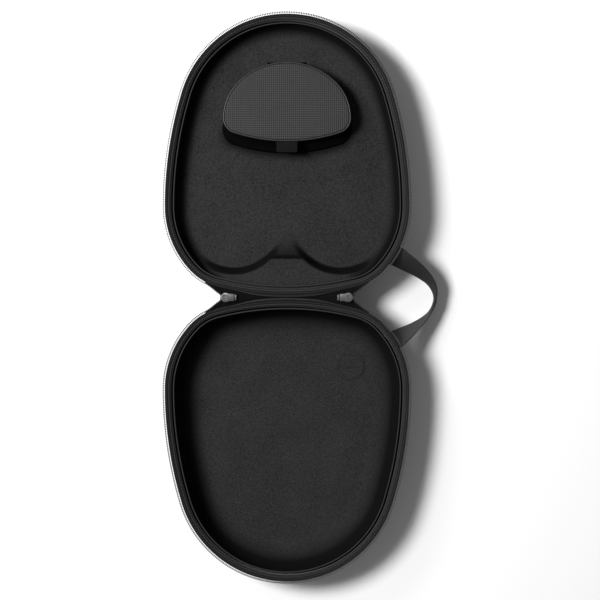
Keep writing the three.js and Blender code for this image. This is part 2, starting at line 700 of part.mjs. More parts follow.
// The tab is sewn under the front of the pocket's lid, and hangs out over the tray's front wall.
function pocketTab() {
  const half = TAB_WIDTH / 2;
  const root = POCKET_FRONT_D - FACING_GAP;
  const tip = root - TAB_LENGTH;
  const outlinePoints = [
    [-half - TAB_ROOT_FLARE, root],
    [-half, root - TAB_ROOT_FLARE],
    [-half, tip + TAB_CORNER],
    [-half + TAB_CORNER, tip],
    [half - TAB_CORNER, tip],
    [half, tip + TAB_CORNER],
    [half, root - TAB_ROOT_FLARE],
    [half + TAB_ROOT_FLARE, root],
  ];
  const top = POCKET_LID_TOP_Z - POCKET_LID_THICKNESS / 2 + TAB_THICKNESS / 2;
  return plate(outlinePoints, top - TAB_THICKNESS, top);
}

// A strip of fabric glued to the top of the tray's back wall, which bends where the pocket's lid turns.
function pocketHingeStrip() {
  const d = POCKET_FRONT_D + POCKET_LENGTH + POCKET_HINGE_GAP - POCKET_OVERHANG;
  const half = POCKET_HINGE_WIDTH / 2;
  const foot = TRAY_TOP_Z - POCKET_HINGE_HEIGHT + SKIN_GAP;
  return box(-half, half, d, d + POCKET_HINGE_THICKNESS, foot, TRAY_TOP_Z);
}

// ---- zip ends and sliders, about the hinge axis: x outwards, y across, z up from the axis ----

function endStop() {
  const x0 = LEAF_END_X;
  return box(x0, x0 + STOP_LENGTH, -STOP_WIDTH / 2, STOP_WIDTH / 2, -STOP_HEIGHT / 2, STOP_HEIGHT / 2);
}

// A slider: two plates on either side of the chain, joined by a wedge behind its nose, with a flange down each
// long side that leaves a slot for the tape, and a bridge under the lower plate that holds the pull.
function sliderBody() {
  const rear = SLIDER_REAR_X;
  const end = rear + SLIDER_LENGTH;
  const waist = rear + SLIDER_WAIST;
  const middle = rear + SLIDER_SHOULDER;
  const rightSide = [
    [rear, SLIDER_REAR_WIDTH / 2],
    [waist, SLIDER_WAIST_WIDTH / 2],
    [middle, SLIDER_WIDTH / 2],
    [rear + SLIDER_NOSE_START, SLIDER_NOSE_WIDTH / 2],
    [end - SLIDER_TIP, SLIDER_TIP_WIDTH / 2],
  ];
  const leftSide = rightSide.map(([x, y]) => [x, -y]);
  const plan = [...leftSide, [end, 0], ...rightSide.reverse()];
  const half = SLIDER_CHANNEL / 2;
  const outer = half + SLIDER_PLATE;
  const over = plate(plan, half, outer);
  const under = plate(plan, -outer, -half);
  const wedgePlan = [
    [rear + SLIDER_WEDGE_START, 0],
    [rear + SLIDER_WEDGE_WIDEST, -SLIDER_WEDGE_WIDTH / 2],
    [end - SLIDER_TIP, 0],
    [rear + SLIDER_WEDGE_WIDEST, SLIDER_WEDGE_WIDTH / 2],
  ];
  const wedge = plate(wedgePlan, -outer + SLIDER_BITE, outer - SLIDER_BITE);
  const flange = (side, z0, z1) => {
    const points = [
      [rear, (side * SLIDER_REAR_WIDTH) / 2],
      [waist, (side * SLIDER_WAIST_WIDTH) / 2],
      [waist, side * (SLIDER_WAIST_WIDTH / 2 - SLIDER_FLANGE)],
      [rear, side * (SLIDER_REAR_WIDTH / 2 - SLIDER_FLANGE)],
    ];
    return plate(points, z0, z1);
  };
  const flanges = [-1, 1].flatMap((side) => [
    flange(side, SLIDER_TAPE_SLOT / 2, half + SLIDER_BITE),
    flange(side, -half - SLIDER_BITE, -SLIDER_TAPE_SLOT / 2),
  ]);
  const bridgeStart = middle - BRIDGE_LENGTH / 2;
  const bridgeEnd = middle + BRIDGE_LENGTH / 2;
  const bridgeFoot = -outer - BRIDGE_OPENING - BRIDGE_TOP;
  const across = BRIDGE_WIDTH / 2;
  const bridge = [
    box(bridgeStart, bridgeStart + BRIDGE_LEG, -across, across, bridgeFoot, -outer + SLIDER_BITE),
    box(bridgeEnd - BRIDGE_LEG, bridgeEnd, -across, across, bridgeFoot, -outer + SLIDER_BITE),
    box(bridgeStart, bridgeEnd, -across, across, bridgeFoot, bridgeFoot + BRIDGE_TOP),
  ];
  const grooves = [-1, 1].map((side) => {
    const start = rear + SLIDER_GROOVE_START;
    const y = (side * SLIDER_GROOVE_SPACING) / 2;
    const wide = SLIDER_GROOVE_WIDTH / 2;
    const floor = outer - SLIDER_GROOVE_DEPTH;
    return box(start, start + SLIDER_GROOVE_LENGTH, y - wide, y + wide, floor, outer + 1);
  });
  return cut(joined(over, under, wedge, ...flanges, ...bridge), ...grooves);
}

// The height of the pull's pivot under the hinge axis, and its place along the slider.
const PULL_PIVOT_DROP = SLIDER_CHANNEL / 2 + SLIDER_PLATE + BRIDGE_OPENING / 2;
const PULL_PIVOT_X = SLIDER_REAR_X + SLIDER_SHOULDER;

// The pull hangs from the bridge by a bar across its window, with a round grip hole near its end.
function pullTab() {
  const half = PULL_WIDTH / 2;
  const top = -PULL_PIVOT_DROP + PULL_BAR / 2;
  const tip = top - PULL_LENGTH;
  const shape = new THREE.Shape();
  shape.moveTo(-half, top);
  shape.lineTo(-half, tip + half);
  shape.absarc(0, tip + half, half, Math.PI, 2 * Math.PI, false);
  shape.lineTo(half, top);
  shape.closePath();
  const window = new THREE.Path();
  const w = PULL_WINDOW_WIDTH / 2;
  window.moveTo(-w, top - PULL_BAR);
  window.lineTo(w, top - PULL_BAR);
  window.lineTo(w, top - PULL_BAR - PULL_WINDOW_LENGTH);
  window.lineTo(-w, top - PULL_BAR - PULL_WINDOW_LENGTH);
  window.closePath();
  const grip = new THREE.Path();
  grip.absarc(0, tip + half, PULL_GRIP_HOLE, 0, 2 * Math.PI, true);
  shape.holes.push(window, grip);
  const settings = { depth: PULL_THICKNESS, bevelEnabled: false, curveSegments: 6 };
  const made = new THREE.ExtrudeGeometry(shape, settings);
  // The shape is drawn across and down, and stands in the plane x = the pivot's place.
  made.rotateX(Math.PI / 2).rotateZ(Math.PI / 2);
  return made.translate(PULL_PIVOT_X - PULL_THICKNESS / 2, 0, 0);
}

// ---- assembly ----

const caseGroup = new THREE.Group();

// A half's own frame: the lid's d runs along +Y from the hinge line, and the base's along -Y.
const lid = new THREE.Group();
lid.position.y = HINGE_Y;
const base = new THREE.Group();
base.position.y = HINGE_Y;
base.scale.y = -1;
caseGroup.add(base, lid);

base.add(node("base_shell", baseShell(), "shell"));
base.add(node("base_lining", baseLining(), "lining"));
const sleepMagnet = disc(MAGNET_RADIUS, SHELL_WALL - MAGNET_THICKNESS, SHELL_WALL, MAGNET_X, MAGNET_D);
base.add(node("sleep_magnet", sleepMagnet, "magnet"));
base.add(node("magnet_holder", magnetHolder(), "coil"));

lid.add(node("lid_shell", shell(), "shell"));
lid.add(node("lid_insert", lidInsert(), "foam"));
lid.add(node("lid_lining", lidLining(), "lining"));
lid.add(node("pocket_tray", pocketTray(), "shell"));
lid.add(node("pocket_tray_magnet", trayMagnet(), "magnet"));
lid.add(node("pocket_hinge_strip", pocketHingeStrip(), "tape"));
lid.add(node("pocket_lid_board", pocketBoard(), "shell"));
lid.add(node("pocket_lid_facing", pocketFacing(), "mesh"));
lid.add(node("pocket_lid_magnet", pocketMagnet(POCKET_LID_UNDER_Z), "magnet"));
lid.add(node("pocket_pull_tab", pocketTab(), "strap"));

for (const [half, name] of [[base, "base"], [lid, "lid"]]) {
  half.add(node(`${name}_rim_piping`, rimPiping(), "tape"));
  half.add(node(`${name}_zip_tape`, zipTape(), "tape"));
  half.add(node(`${name}_zip_coil`, zipCoil(), "coil"));
  half.add(node(`${name}_hinge_leaf`, hingeLeaf(), "tape"));
  half.add(node(`${name}_strap_half`, strapHalf(), "strap"));
}

// Both sliders face away from the middle of the hinge, so the left one is turned round.
for (const [side, turn] of [["right", 0], ["left", Math.PI]]) {
  const zipEnd = new THREE.Group();
  zipEnd.position.set(0, HINGE_Y, PARTING_Z);
  zipEnd.rotation.z = turn;
  zipEnd.add(node(`${side}_zip_end_stop`, endStop(), "metal"));
  zipEnd.add(node(`${side}_slider_body`, sliderBody(), "metal"));
  zipEnd.add(node(`${side}_slider_pull`, pullTab(), "metal"));
  caseGroup.add(zipEnd);
}

export default caseGroup;
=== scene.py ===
import json
import math

import bmesh
import bpy
import numpy as np
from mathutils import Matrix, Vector


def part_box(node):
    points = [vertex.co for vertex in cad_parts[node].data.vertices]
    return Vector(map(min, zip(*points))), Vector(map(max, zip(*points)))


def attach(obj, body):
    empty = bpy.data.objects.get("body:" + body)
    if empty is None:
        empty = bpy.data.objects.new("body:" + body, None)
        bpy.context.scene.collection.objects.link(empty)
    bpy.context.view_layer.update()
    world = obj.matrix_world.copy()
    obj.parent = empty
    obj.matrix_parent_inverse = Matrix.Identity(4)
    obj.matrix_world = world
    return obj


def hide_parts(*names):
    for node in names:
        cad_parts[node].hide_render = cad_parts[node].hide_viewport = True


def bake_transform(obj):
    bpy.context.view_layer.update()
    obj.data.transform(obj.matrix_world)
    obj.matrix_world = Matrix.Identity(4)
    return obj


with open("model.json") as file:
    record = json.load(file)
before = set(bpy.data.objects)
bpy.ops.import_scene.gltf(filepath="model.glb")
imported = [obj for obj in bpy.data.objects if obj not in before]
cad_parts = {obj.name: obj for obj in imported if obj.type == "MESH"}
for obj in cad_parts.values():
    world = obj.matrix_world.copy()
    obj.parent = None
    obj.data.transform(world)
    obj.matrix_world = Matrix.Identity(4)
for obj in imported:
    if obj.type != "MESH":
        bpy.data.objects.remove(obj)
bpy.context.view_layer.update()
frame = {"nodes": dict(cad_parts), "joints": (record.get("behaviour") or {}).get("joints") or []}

scene = bpy.context.scene
MM = 0.001


# ---- Table and studio light.
# The open case lies on a white table under a camera that looks straight down. One large soft lamp stands to
# the left, with a small one close to the lid, and white walls all round fill the shadows.

hinge = next(j for j in frame["joints"] if j["name"] == "lid_hinge")
HINGE_Y, PARTING_Z = hinge["pos_m"][1], hinge["pos_m"][2]
CAMERA_HEIGHT = 1.5
FIELD_OF_VIEW = 456.06 * MM
VIEW_CENTRE = (9.9 * MM, HINGE_Y - 1.9 * MM)
LAMP_TOWARDS = Vector((-23.0, 6.3, 38.0)).normalized()
LAMP_DISTANCE = 1.7
NEAR_LAMP_AT = Vector((-0.45, HINGE_Y + 0.34, 0.5))
NEAR_LAMP_AIM = Vector((0, HINGE_Y + 0.12, 0))


class Wire:
    """What comes out of one node. Arithmetic on it adds Math nodes to the same tree."""

    def __init__(self, socket):
        self.socket = socket

    def maths(self, operation, *values):
        return Bench(self.socket.id_data).node("ShaderNodeMath", {"operation": operation}, *values)

    def __add__(self, other):
        return self.maths("ADD", self, other)

    def __radd__(self, other):
        return self.maths("ADD", other, self)

    def __sub__(self, other):
        return self.maths("SUBTRACT", self, other)

    def __rsub__(self, other):
        return self.maths("SUBTRACT", other, self)

    def __mul__(self, other):
        return self.maths("MULTIPLY", self, other)

    def __rmul__(self, other):
        return self.maths("MULTIPLY", other, self)

    def __truediv__(self, other):
        return self.maths("DIVIDE", self, other)

    def __pow__(self, other):
        return self.maths("POWER", self, other)

    def sin(self):
        return self.maths("SINE", self)

    def cos(self):
        return self.maths("COSINE", self)

    def least(self, other):
        return self.maths("MINIMUM", self, other)

    def most(self, other):
        return self.maths("MAXIMUM", self, other)

    def share(self):
        """Held between 0 and 1."""
        return self.most(0.0).least(1.0)


class Bench:
    """A node tree, shader or geometry, and the one way nodes are put on it."""

    def __init__(self, tree):
        self.tree = tree

    def node(self, kind, settings=None, *values, out=0, **named):
        made = self.tree.nodes.new(kind)
        for key, value in (settings or {}).items():
            setattr(made, key, value)
        sockets = {s.name.replace(" ", "_"): s for s in reversed(made.inputs) if s.enabled}
        for socket, value in [*zip(made.inputs, values), *((sockets[k], v) for k, v in named.items())]:
            if isinstance(value, Wire):
                self.tree.links.new(value.socket, socket)
            elif value is not None:
                socket.default_value = value
        if isinstance(out, int):
            return Wire(made.outputs[out])
        return Wire(next(s for s in made.outputs if s.name == out and s.enabled))


class Finish(Bench):
    """A material. Its Principled shader's sockets are set by name."""

    def __init__(self, name, **sockets):
        self.material = bpy.data.materials.new(name)
        self.material.use_nodes = True
        super().__init__(self.material.node_tree)
        self.shader = next(n for n in self.tree.nodes if n.type == "BSDF_PRINCIPLED")
        self.set(**sockets)

    def set(self, **sockets):
        for name, value in sockets.items():
            socket = self.shader.inputs[name.replace("_", " ")]
            if isinstance(value, Wire):
                self.tree.links.new(value.socket, socket)
            else:
                socket.default_value = value

    def place(self):
        """Metres in the case's own frame."""
        return self.node("ShaderNodeTexCoord", out="Object")

    def along_across(self):
        """Metres along and across a band, from its own UV map."""
        cut = self.tree.nodes.new("ShaderNodeSeparateXYZ")
        self.tree.links.new(self.node("ShaderNodeTexCoord", out="UV").socket, cut.inputs[0])
        return Wire(cut.outputs[0]), Wire(cut.outputs[1])

    def xyz(self):
        cut = self.tree.nodes.new("ShaderNodeSeparateXYZ")
        self.tree.links.new(self.place().socket, cut.inputs[0])
        return [Wire(s) for s in cut.outputs]

    def noise(self, size, detail=2.0, rough=0.5):
        """Clouds of about this size in metres, from 0 to 1."""
        return self.node(
            "ShaderNodeTexNoise", None, Vector=self.place(), Scale=1 / size, Detail=detail, Roughness=rough)

    def blend(self, share, first, second):
        """A colour that goes from the first to the second as share goes from 0 to 1."""
        mix = self.tree.nodes.new("ShaderNodeMix")
        mix.data_type = "RGBA"
        for socket, value in ((mix.inputs[0], share), (mix.inputs[6], first), (mix.inputs[7], second)):
            if isinstance(value, Wire):
                self.tree.links.new(value.socket, socket)
            else:
                socket.default_value = value
        return Wire(mix.outputs[2])

    def relief(self, height, depth, strength=1.0):
        """Bumps whose full height is depth metres."""
        return self.node("ShaderNodeBump", None, Height=height, Distance=depth, Strength=strength)


def grey(value):
    return (value, value, value, 1.0)


def mesh_piece(name, points, faces, finish):
    """A new object at the origin with this mesh and finish."""
    mesh = bpy.data.meshes.new(name)
    mesh.from_pydata([tuple(p) for p in points], [], [tuple(f) for f in faces])
    mesh.polygons.foreach_set("use_smooth", [True] * len(mesh.polygons))
    mesh.materials.append(finish.material)
    mesh.update()
    piece = bpy.data.objects.new(name, mesh)
    scene.collection.objects.link(piece)
    return piece


table_finish = Finish("white_table", Roughness=0.6, Specular_IOR_Level=0.2)
table_finish.set(Base_Color=table_finish.blend(table_finish.noise(0.4), grey(0.86), grey(0.88)))
corners = [(-3, -3, 0), (3, -3, 0), (3, 3, 0), (-3, 3, 0)]
table = mesh_piece("table", [(x, y, -0.3 * MM) for x, y, _ in corners], [(0, 1, 2, 3)], table_finish)

camera = bpy.data.objects.new("camera", bpy.data.cameras.new("camera"))
scene.collection.objects.link(camera)
camera.location = (*VIEW_CENTRE, PARTING_Z + CAMERA_HEIGHT)
camera.data.lens = camera.data.sensor_width * CAMERA_HEIGHT / FIELD_OF_VIEW
scene.camera = camera



def disk_lamp(name, size, energy, place, towards):
    """A round area lamp that shines along the reverse of towards."""
    made = bpy.data.objects.new(name, bpy.data.lights.new(name, "AREA"))
    scene.collection.objects.link(made)
    made.data.shape, made.data.size, made.data.energy = "DISK", size, energy
    made.location = place
    made.rotation_euler = towards.to_track_quat("Z", "Y").to_euler()


disk_lamp("lamp", 0.5, 36, Vector((*VIEW_CENTRE, 0)) + LAMP_TOWARDS * LAMP_DISTANCE, LAMP_TOWARDS)
disk_lamp("near_lamp", 0.25, 2.3, NEAR_LAMP_AT, NEAR_LAMP_AT - NEAR_LAMP_AIM)

walls = bpy.data.worlds.new("walls")
walls.use_nodes = True
walls.node_tree.nodes["Background"].inputs["Color"].default_value = (1, 1, 1, 1)
walls.node_tree.nodes["Background"].inputs["Strength"].default_value = 0.19
scene.world = walls
scene.view_settings.view_transform = "Standard"


# ---- Shells.
# Two tubs of moulded foam board with a black woven cover pressed on outside. The cover is turned in over the
# rim, where the zip tape is sewn to it.

coil_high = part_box("lid_zip_coil")[1]
HALF_WIDTH = coil_high.x
LENGTH = coil_high.y - HINGE_Y
SHELL_INSET = 3.4 * MM
SHELL_WALL = 3.2 * MM
SHELL_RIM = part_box("base_shell")[1].z
SHELL_RUN = 30 * MM
SQUARENESS = 2.6


def arc_outline(half_width, length, first, second, turns, count):
    """Headings and points round a closed outline of tangent arcs, the same on both sides of x = 0 and evenly
    spaced. It starts along +x. The radii that aren't given follow from its width and length."""
    turn = [math.radians(a) for a in turns]
    s, c = [math.sin(a) for a in turn], [math.cos(a) for a in turn]
    radii = [first, second]
    x = first * s[1] + second * (s[2] - s[1])
    d = first * (1 - c[1]) + second * (c[1] - c[2])
    if turns[2] < 90:
        radii.append((half_width - x) / (1 - s[2]))
        d += radii[2] * c[2]
    rest, s, c = length - d, s[-2], c[-2]
    flank = (rest * s - half_width * (1 + c)) / (-c * s - (1 - s) * (1 + c))
    radii += [flank, (half_width - flank * (1 - s)) / s]
    spans = [r * (b - a) for r, a, b in zip(radii, turn, turn[1:])]
    start = np.zeros(2)
    steps = np.linspace(0, sum(spans), count // 2 + 1)
    headings, points = np.zeros(len(steps)), np.zeros((len(steps), 2))
    done = 0.0
    for r, a, b, span in zip(radii, turn, turn[1:], spans):
        centre = start + r * np.array([-math.sin(a), math.cos(a)])
        here = (steps >= done - 1e-9) & (steps <= done + span + 1e-9)
        headings[here] = a + (steps[here] - done) / r
        points[here] = centre + r * np.stack([np.sin(headings[here]), -np.cos(headings[here])], 1)
        start = centre + r * np.array([math.sin(b), -math.cos(b)])
        done += span
    back = slice(-2, 0, -1)
    headings = np.concatenate([headings, 2 * math.pi - headings[back]])
    return headings, np.concatenate([points, points[back] * (-1, 1)])


HEADINGS, RIM = arc_outline(HALF_WIDTH, LENGTH, 218 * MM, 42 * MM, (0, 14.5, 46, 90, 107, 180), 480)
OUTWARD = np.stack([np.sin(HEADINGS), -np.cos(HEADINGS)], 1)


def rim_ring(inset, z, side, move=0.0):
    """Points round the outline, moved in by inset, for the lid (side 1) or the base (side -1)."""
    flat = RIM - OUTWARD * np.asarray(inset).reshape(-1, 1)
    return np.stack([flat[:, 0], HINGE_Y + side * (flat[:, 1] + move), np.broadcast_to(z, len(flat))], 1)


def geometry_tree(name, sockets):
    """A new geometry node tree with these named inputs, its input wires by name, and its bench."""
    tree = bpy.data.node_groups.new(name, "GeometryNodeTree")
    tree.interface.new_socket("Geometry", in_out="OUTPUT", socket_type="NodeSocketGeometry")
    for title, kind in {"Geometry": "Geometry", **sockets}.items():
        tree.interface.new_socket(title, in_out="INPUT", socket_type="NodeSocket" + kind)
    entry = tree.nodes.new("NodeGroupInput")
    return Bench(tree), {s.name: Wire(s) for s in entry.outputs if s.name}


def apply_tree(tree, piece, name, values):
    modifier = piece.modifiers.new("rule", "NODES")
    modifier.node_group = tree
    for item in tree.interface.items_tree:
        if item.in_out == "INPUT" and item.name in values:
            modifier[item.identifier] = values[item.name]
    bpy.context.view_layer.update()
    seen = piece.evaluated_get(bpy.context.evaluated_depsgraph_get())
    mesh = bpy.data.meshes.new_from_object(seen)
    bpy.data.objects.remove(piece)
    made = bpy.data.objects.new(name, mesh)
    mesh.name = name
    scene.collection.objects.link(made)
    return made


def line_object(points, closed):
    mesh = bpy.data.meshes.new("line")
    count = len(points)
    edges = [(k, (k + 1) % count) for k in range(count if closed else count - 1)]
    mesh.from_pydata([tuple(p) for p in points], edges, [])
    line = bpy.data.objects.new("line", mesh)
    scene.collection.objects.link(line)
    return line


def tub_tree():
    """Sweeps a rounded wall down from the rim line, and fills it in to the middle as a flat floor."""
    bench, given = geometry_tree("tub_from_rim_line", {
        "Inset": "Float", "Rim Height": "Float", "Floor Height": "Float", "Wall Run": "Float",
        "Squareness": "Float", "Side": "Float", "Columns": "Int", "Rings": "Int", "Cover": "Material",
    })
    line = bench.node("GeometryNodeMeshToCurve", None, given["Geometry"])
    grid = bench.node("GeometryNodeMeshGrid", None, 1.0, 1.0, given["Columns"], given["Rings"])
    cut = bench.tree.nodes.new("ShaderNodeSeparateXYZ")
    bench.tree.links.new(bench.node("GeometryNodeInputPosition").socket, cut.inputs[0])
    around, down = Wire(cut.outputs[0]) + 0.5, Wire(cut.outputs[1]) + 0.5
    sample = bench.tree.nodes.new("GeometryNodeSampleCurve")
    sample.mode, sample.data_type = "FACTOR", "FLOAT"
    bench.tree.links.new(line.socket, sample.inputs["Curves"])
    bench.tree.links.new(around.socket, sample.inputs["Factor"])
    tangent = Wire(sample.outputs["Tangent"])
    vector = "ShaderNodeVectorMath"
    outward = bench.node(vector, {"operation": "CROSS_PRODUCT"}, tangent, (0, 0, 1), out="Vector")
    wall_share = 0.72
    turn = (down / wall_share).share() * (math.pi / 2)
    power = bench.node("ShaderNodeMath", {"operation": "DIVIDE"}, 2.0, given["Squareness"])
    run = 1.0 - turn.cos().most(0.0) ** power
    fall = turn.sin() ** power
    inset = given["Inset"] + given["Wall Run"] * run
    height = given["Rim Height"] - (given["Rim Height"] - given["Floor Height"]) * fall
    inwards = inset * given["Side"] * -1.0
    push = bench.node(vector, {"operation": "SCALE"}, outward, Scale=inwards, out="Vector")
    at_wall = bench.node(vector, {"operation": "ADD"}, Wire(sample.outputs["Position"]), push, out="Vector")
    centre = bench.node("ShaderNodeCombineXYZ", None, 0.0, HINGE_Y + given["Side"] * (LENGTH / 2), 0.0)
    to_middle = ((down - wall_share) / (1 - wall_share)).share()
    mix = bench.tree.nodes.new("ShaderNodeMix")
    mix.data_type = "VECTOR"
    for socket, value in ((mix.inputs[0], to_middle), (mix.inputs[4], at_wall), (mix.inputs[5], centre)):
        bench.tree.links.new(value.socket, socket)
    flat = bench.tree.nodes.new("ShaderNodeSeparateXYZ")
    bench.tree.links.new(mix.outputs[1], flat.inputs[0])
    place = bench.node("ShaderNodeCombineXYZ", None, Wire(flat.outputs[0]), Wire(flat.outputs[1]), height)
    shaped = bench.node("GeometryNodeSetPosition", None, grid, Position=place)
    welded = bench.node("GeometryNodeMergeByDistance", None, shaped, Distance=0.01 * MM)
    smooth = bench.node("GeometryNodeSetShadeSmooth", None, welded)
    whole = bench.node("GeometryNodeRealizeInstances", None, smooth)
    covered = bench.node("GeometryNodeSetMaterial", None, whole, Material=given["Cover"])
    leave = bench.tree.nodes.new("NodeGroupOutput")
    bench.tree.links.new(covered.socket, leave.inputs[0])
    return bench.tree


TUB = tub_tree()


def tub(name, side, inset, rim, floor, run, finish, thickness, inwards):
    """A tub of even thickness, with its wall grown in or out from the swept face."""
    made = apply_tree(TUB, line_object(rim_ring(0, 0, side), True), name, {
        "Inset": inset, "Rim Height": rim, "Floor Height": floor, "Wall Run": run, "Squareness": SQUARENESS,
        "Side": float(side), "Columns": 361, "Rings": 46, "Cover": finish.material,
    })
    face_down = bmesh.new()
    face_down.from_mesh(made.data)
    bmesh.ops.recalc_face_normals(face_down, faces=face_down.faces)
    middle = Vector((0, HINGE_Y + side * LENGTH / 2))
    low = min(face_down.faces, key=lambda f: (f.calc_center_median().xy - middle).length)
    if (low.normal.z > 0) == inwards:
        bmesh.ops.reverse_faces(face_down, faces=face_down.faces)
    face_down.to_mesh(made.data)
    face_down.free()
    wall = made.modifiers.new("wall", "SOLIDIFY")
    wall.thickness, wall.offset, wall.use_even_offset = thickness, -1.0, True
    return made


cover = Finish("woven_cover", Roughness=0.72, Specular_IOR_Level=0.35, Sheen_Weight=0.12, Sheen_Roughness=0.5)
cx, cy, cz = cover.xyz()
CLOTH_PITCH = 0.62 * MM
warp = ((cx + cz) * (2 * math.pi / CLOTH_PITCH)).sin()
weft = ((cy + cz) * (2 * math.pi / CLOTH_PITCH)).sin()
basket = warp * weft * 0.5 + 0.5
cover.set(
    Base_Color=cover.blend((basket * 0.6 + cover.noise(3 * MM) * 0.5).share(), grey(0.009), grey(0.021)),
    Roughness=(0.66 + cover.noise(9 * MM) * 0.14),
    Normal=cover.relief(basket + cover.noise(0.9 * MM) * 0.6, 0.11 * MM, 0.7),
)
for side, half in ((-1, "base"), (1, "lid")):
    shell = tub(f"{half}_shell_cover", side, SHELL_INSET, SHELL_RIM, 0.0, SHELL_RUN, cover, SHELL_WALL, True)
    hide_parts(f"{half}_shell")
    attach(shell, half)


# ---- Base lining.
# Black knit laminated on thin foam and pressed into the shell as a plain tray. The sleep magnet's holder
# shows through it as a faint raised ring. On steep walls the knit is coloured near black as painted shade,
# standing in for the shade that falls in the deep hollow.

knit = Finish("knit_lining", Roughness=0.95, Specular_IOR_Level=0.05)
LOOP_PITCH = 0.85 * MM
kx, ky, kz = knit.xyz()
wander = knit.noise(2.2 * MM) * 3.0
wales = ((kx + kz * 0.7) * (2 * math.pi / LOOP_PITCH) + wander).sin()
courses = ((ky + kz * 0.7) * (2 * math.pi / LOOP_PITCH) + wander).sin()
loops = wales * courses * 0.5 + 0.5
pile = knit.noise(0.8 * MM, 3.0, 0.75)
grain = (loops * 0.25 + pile * 2.4 + knit.noise(26 * MM) * 0.3 - 1.05).share()
# Painted shade: where the lining's shade attribute is high, on steep walls and round the pocket's foot, the
# knit's colour goes to near black.
stretch = knit.node("ShaderNodeAttribute", {"attribute_name": "stretch"}, out="Fac")
knit_colour = knit.blend(grain, grey(0.007), grey(0.038))
knit.set(
    Base_Color=knit.blend(stretch, knit_colour, grey(0.0035)),
    Normal=knit.relief(loops * 0.5 + pile, 0.16 * MM, 0.8),
)
LINING = 1.7 * MM
LINING_SKIN = 1.2 * MM
LINING_EDGE_INSET = 8.4 * MM
LINING_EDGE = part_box("base_lining")[1].z
LINING_EDGE_ROLL = 0.7 * MM
PAINTED_SHADE_CURVE = 0.6


def fold_outwards(mesh):
    """Turns every face of a closed mesh outwards."""
    work = bmesh.new()
    work.from_mesh(mesh)
    bmesh.ops.recalc_face_normals(work, faces=work.faces)
    work.to_mesh(mesh)
    work.free()


def ringed_piece(name, rings, finish, closed=False):
    """A piece from rings of points, each joined to the next, with its last ring filled in to a hub. A closed
    one has its first ring filled in as well."""
    rows, columns = len(rings), len(rings[0])
    points = np.concatenate(rings)
    faces = []
    for r in range(rows - 1):
        for c in range(columns):
            e = (c + 1) % columns
            faces.append((r * columns + c, r * columns + e, (r + 1) * columns + e, (r + 1) * columns + c))
    for r in (rows - 1, 0) if closed else (rows - 1,):
        hub = len(points)
        points = np.concatenate([points, [np.mean(rings[r], 0)]])
        for c in range(columns):
            pair = (r * columns + c, r * columns + (c + 1) % columns)
            faces.append((*(pair if r else pair[::-1]), hub))
    piece = mesh_piece(name, points, faces, finish)
    if closed:
        fold_outwards(piece.data)
    return piece


def lining(name, side, floor, height, finish, drop=0.0):
    """A lining from its rolled edge down to its middle. height gives the share of its depth at x, d, inset,
    and drop puts it that much further out and down. It gets a point attribute that is high where it is steep,
    which colours the knit near black there as painted shade."""
    insets = np.concatenate([np.linspace(7.7, 20.4, 30), np.arange(21, 40, 0.75)]) * MM
    depth = LINING_EDGE - floor
    rings = []
    for inset in insets:
        flat = RIM - OUTWARD * max(inset, LINING_EDGE_INSET)
        share = height(flat[:, 0], flat[:, 1], np.full(len(flat), inset))
        rolled = min(inset - LINING_EDGE_INSET, 0)
        flat = flat - OUTWARD * (rolled - drop)
        z = floor + depth * share - (rolled / LINING_EDGE_ROLL) ** 2 * 1.1 * MM - drop
        rings.append(np.stack([flat[:, 0], HINGE_Y + side * flat[:, 1], z], 1))
    centre = np.array([0, LENGTH / 2])
    last = RIM - OUTWARD * insets[-1]
    for share in np.linspace(0.985, 0.04, 68):
        flat = centre + (last - centre) * share
        z = floor + depth * height(flat[:, 0], flat[:, 1], np.full(len(flat), 1.0)) - drop
        rings.append(np.stack([flat[:, 0], HINGE_Y + side * flat[:, 1], z], 1))
    rings = [ring[::side] for ring in rings]
    sheet = ringed_piece(name, rings, finish)
    steep = np.empty(len(sheet.data.vertices) * 3, np.float32)
    sheet.data.vertex_normals.foreach_get("vector", steep)
    steep = 1 - np.abs(steep.reshape(-1, 3)[:, 2])
    layer = sheet.data.attributes.new("stretch", "FLOAT", "POINT")
    layer.data.foreach_set("value", np.clip(steep**PAINTED_SHADE_CURVE * 2.0 - 0.10, 0, 1).astype(np.float32))
    wall = sheet.modifiers.new("wall", "SOLIDIFY")
    wall.thickness, wall.offset = LINING_SKIN, -1.0
    return sheet


def rounded_wall(inset, run, power):
    across = np.clip((inset - LINING_EDGE_INSET) / run, 0, 1)
    return 1 - (1 - (1 - across) ** power) ** (1 / power)


holder_low, holder_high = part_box("magnet_holder")
HOLDER_AT = ((holder_low.x + holder_high.x) / 2, HINGE_Y - (holder_low.y + holder_high.y) / 2)
HOLDER_RADIUS = (holder_high.x - holder_low.x) / 2
RING_RISE, RING_WIDTH = 0.5 * MM, 1.4 * MM
TRAY_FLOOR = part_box("base_lining")[0].z + LINING
TRAY_RUN = SHELL_RUN - SHELL_WALL - LINING


def tray_height(x, d, inset):
    away = np.hypot(x - HOLDER_AT[0], d - HOLDER_AT[1]) - HOLDER_RADIUS
    ring = np.exp(-((away / RING_WIDTH) ** 2)) + 0.3 / (1 + np.exp(np.clip(away / (0.4 * MM), -40, 40)))
    return rounded_wall(inset, TRAY_RUN, SQUARENESS) + ring * RING_RISE / (LINING_EDGE - TRAY_FLOOR)


tray = lining("base_lining_knit", -1, TRAY_FLOOR, tray_height, knit)
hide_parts("base_lining")
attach(tray, "base")


# ---- Lid lining and its foam.
# The same knit over a moulded foam insert. It has two round hollows for the ear cups, and a raised saddle
# between them that ends in a straight edge and slopes down towards the middle of the lid.

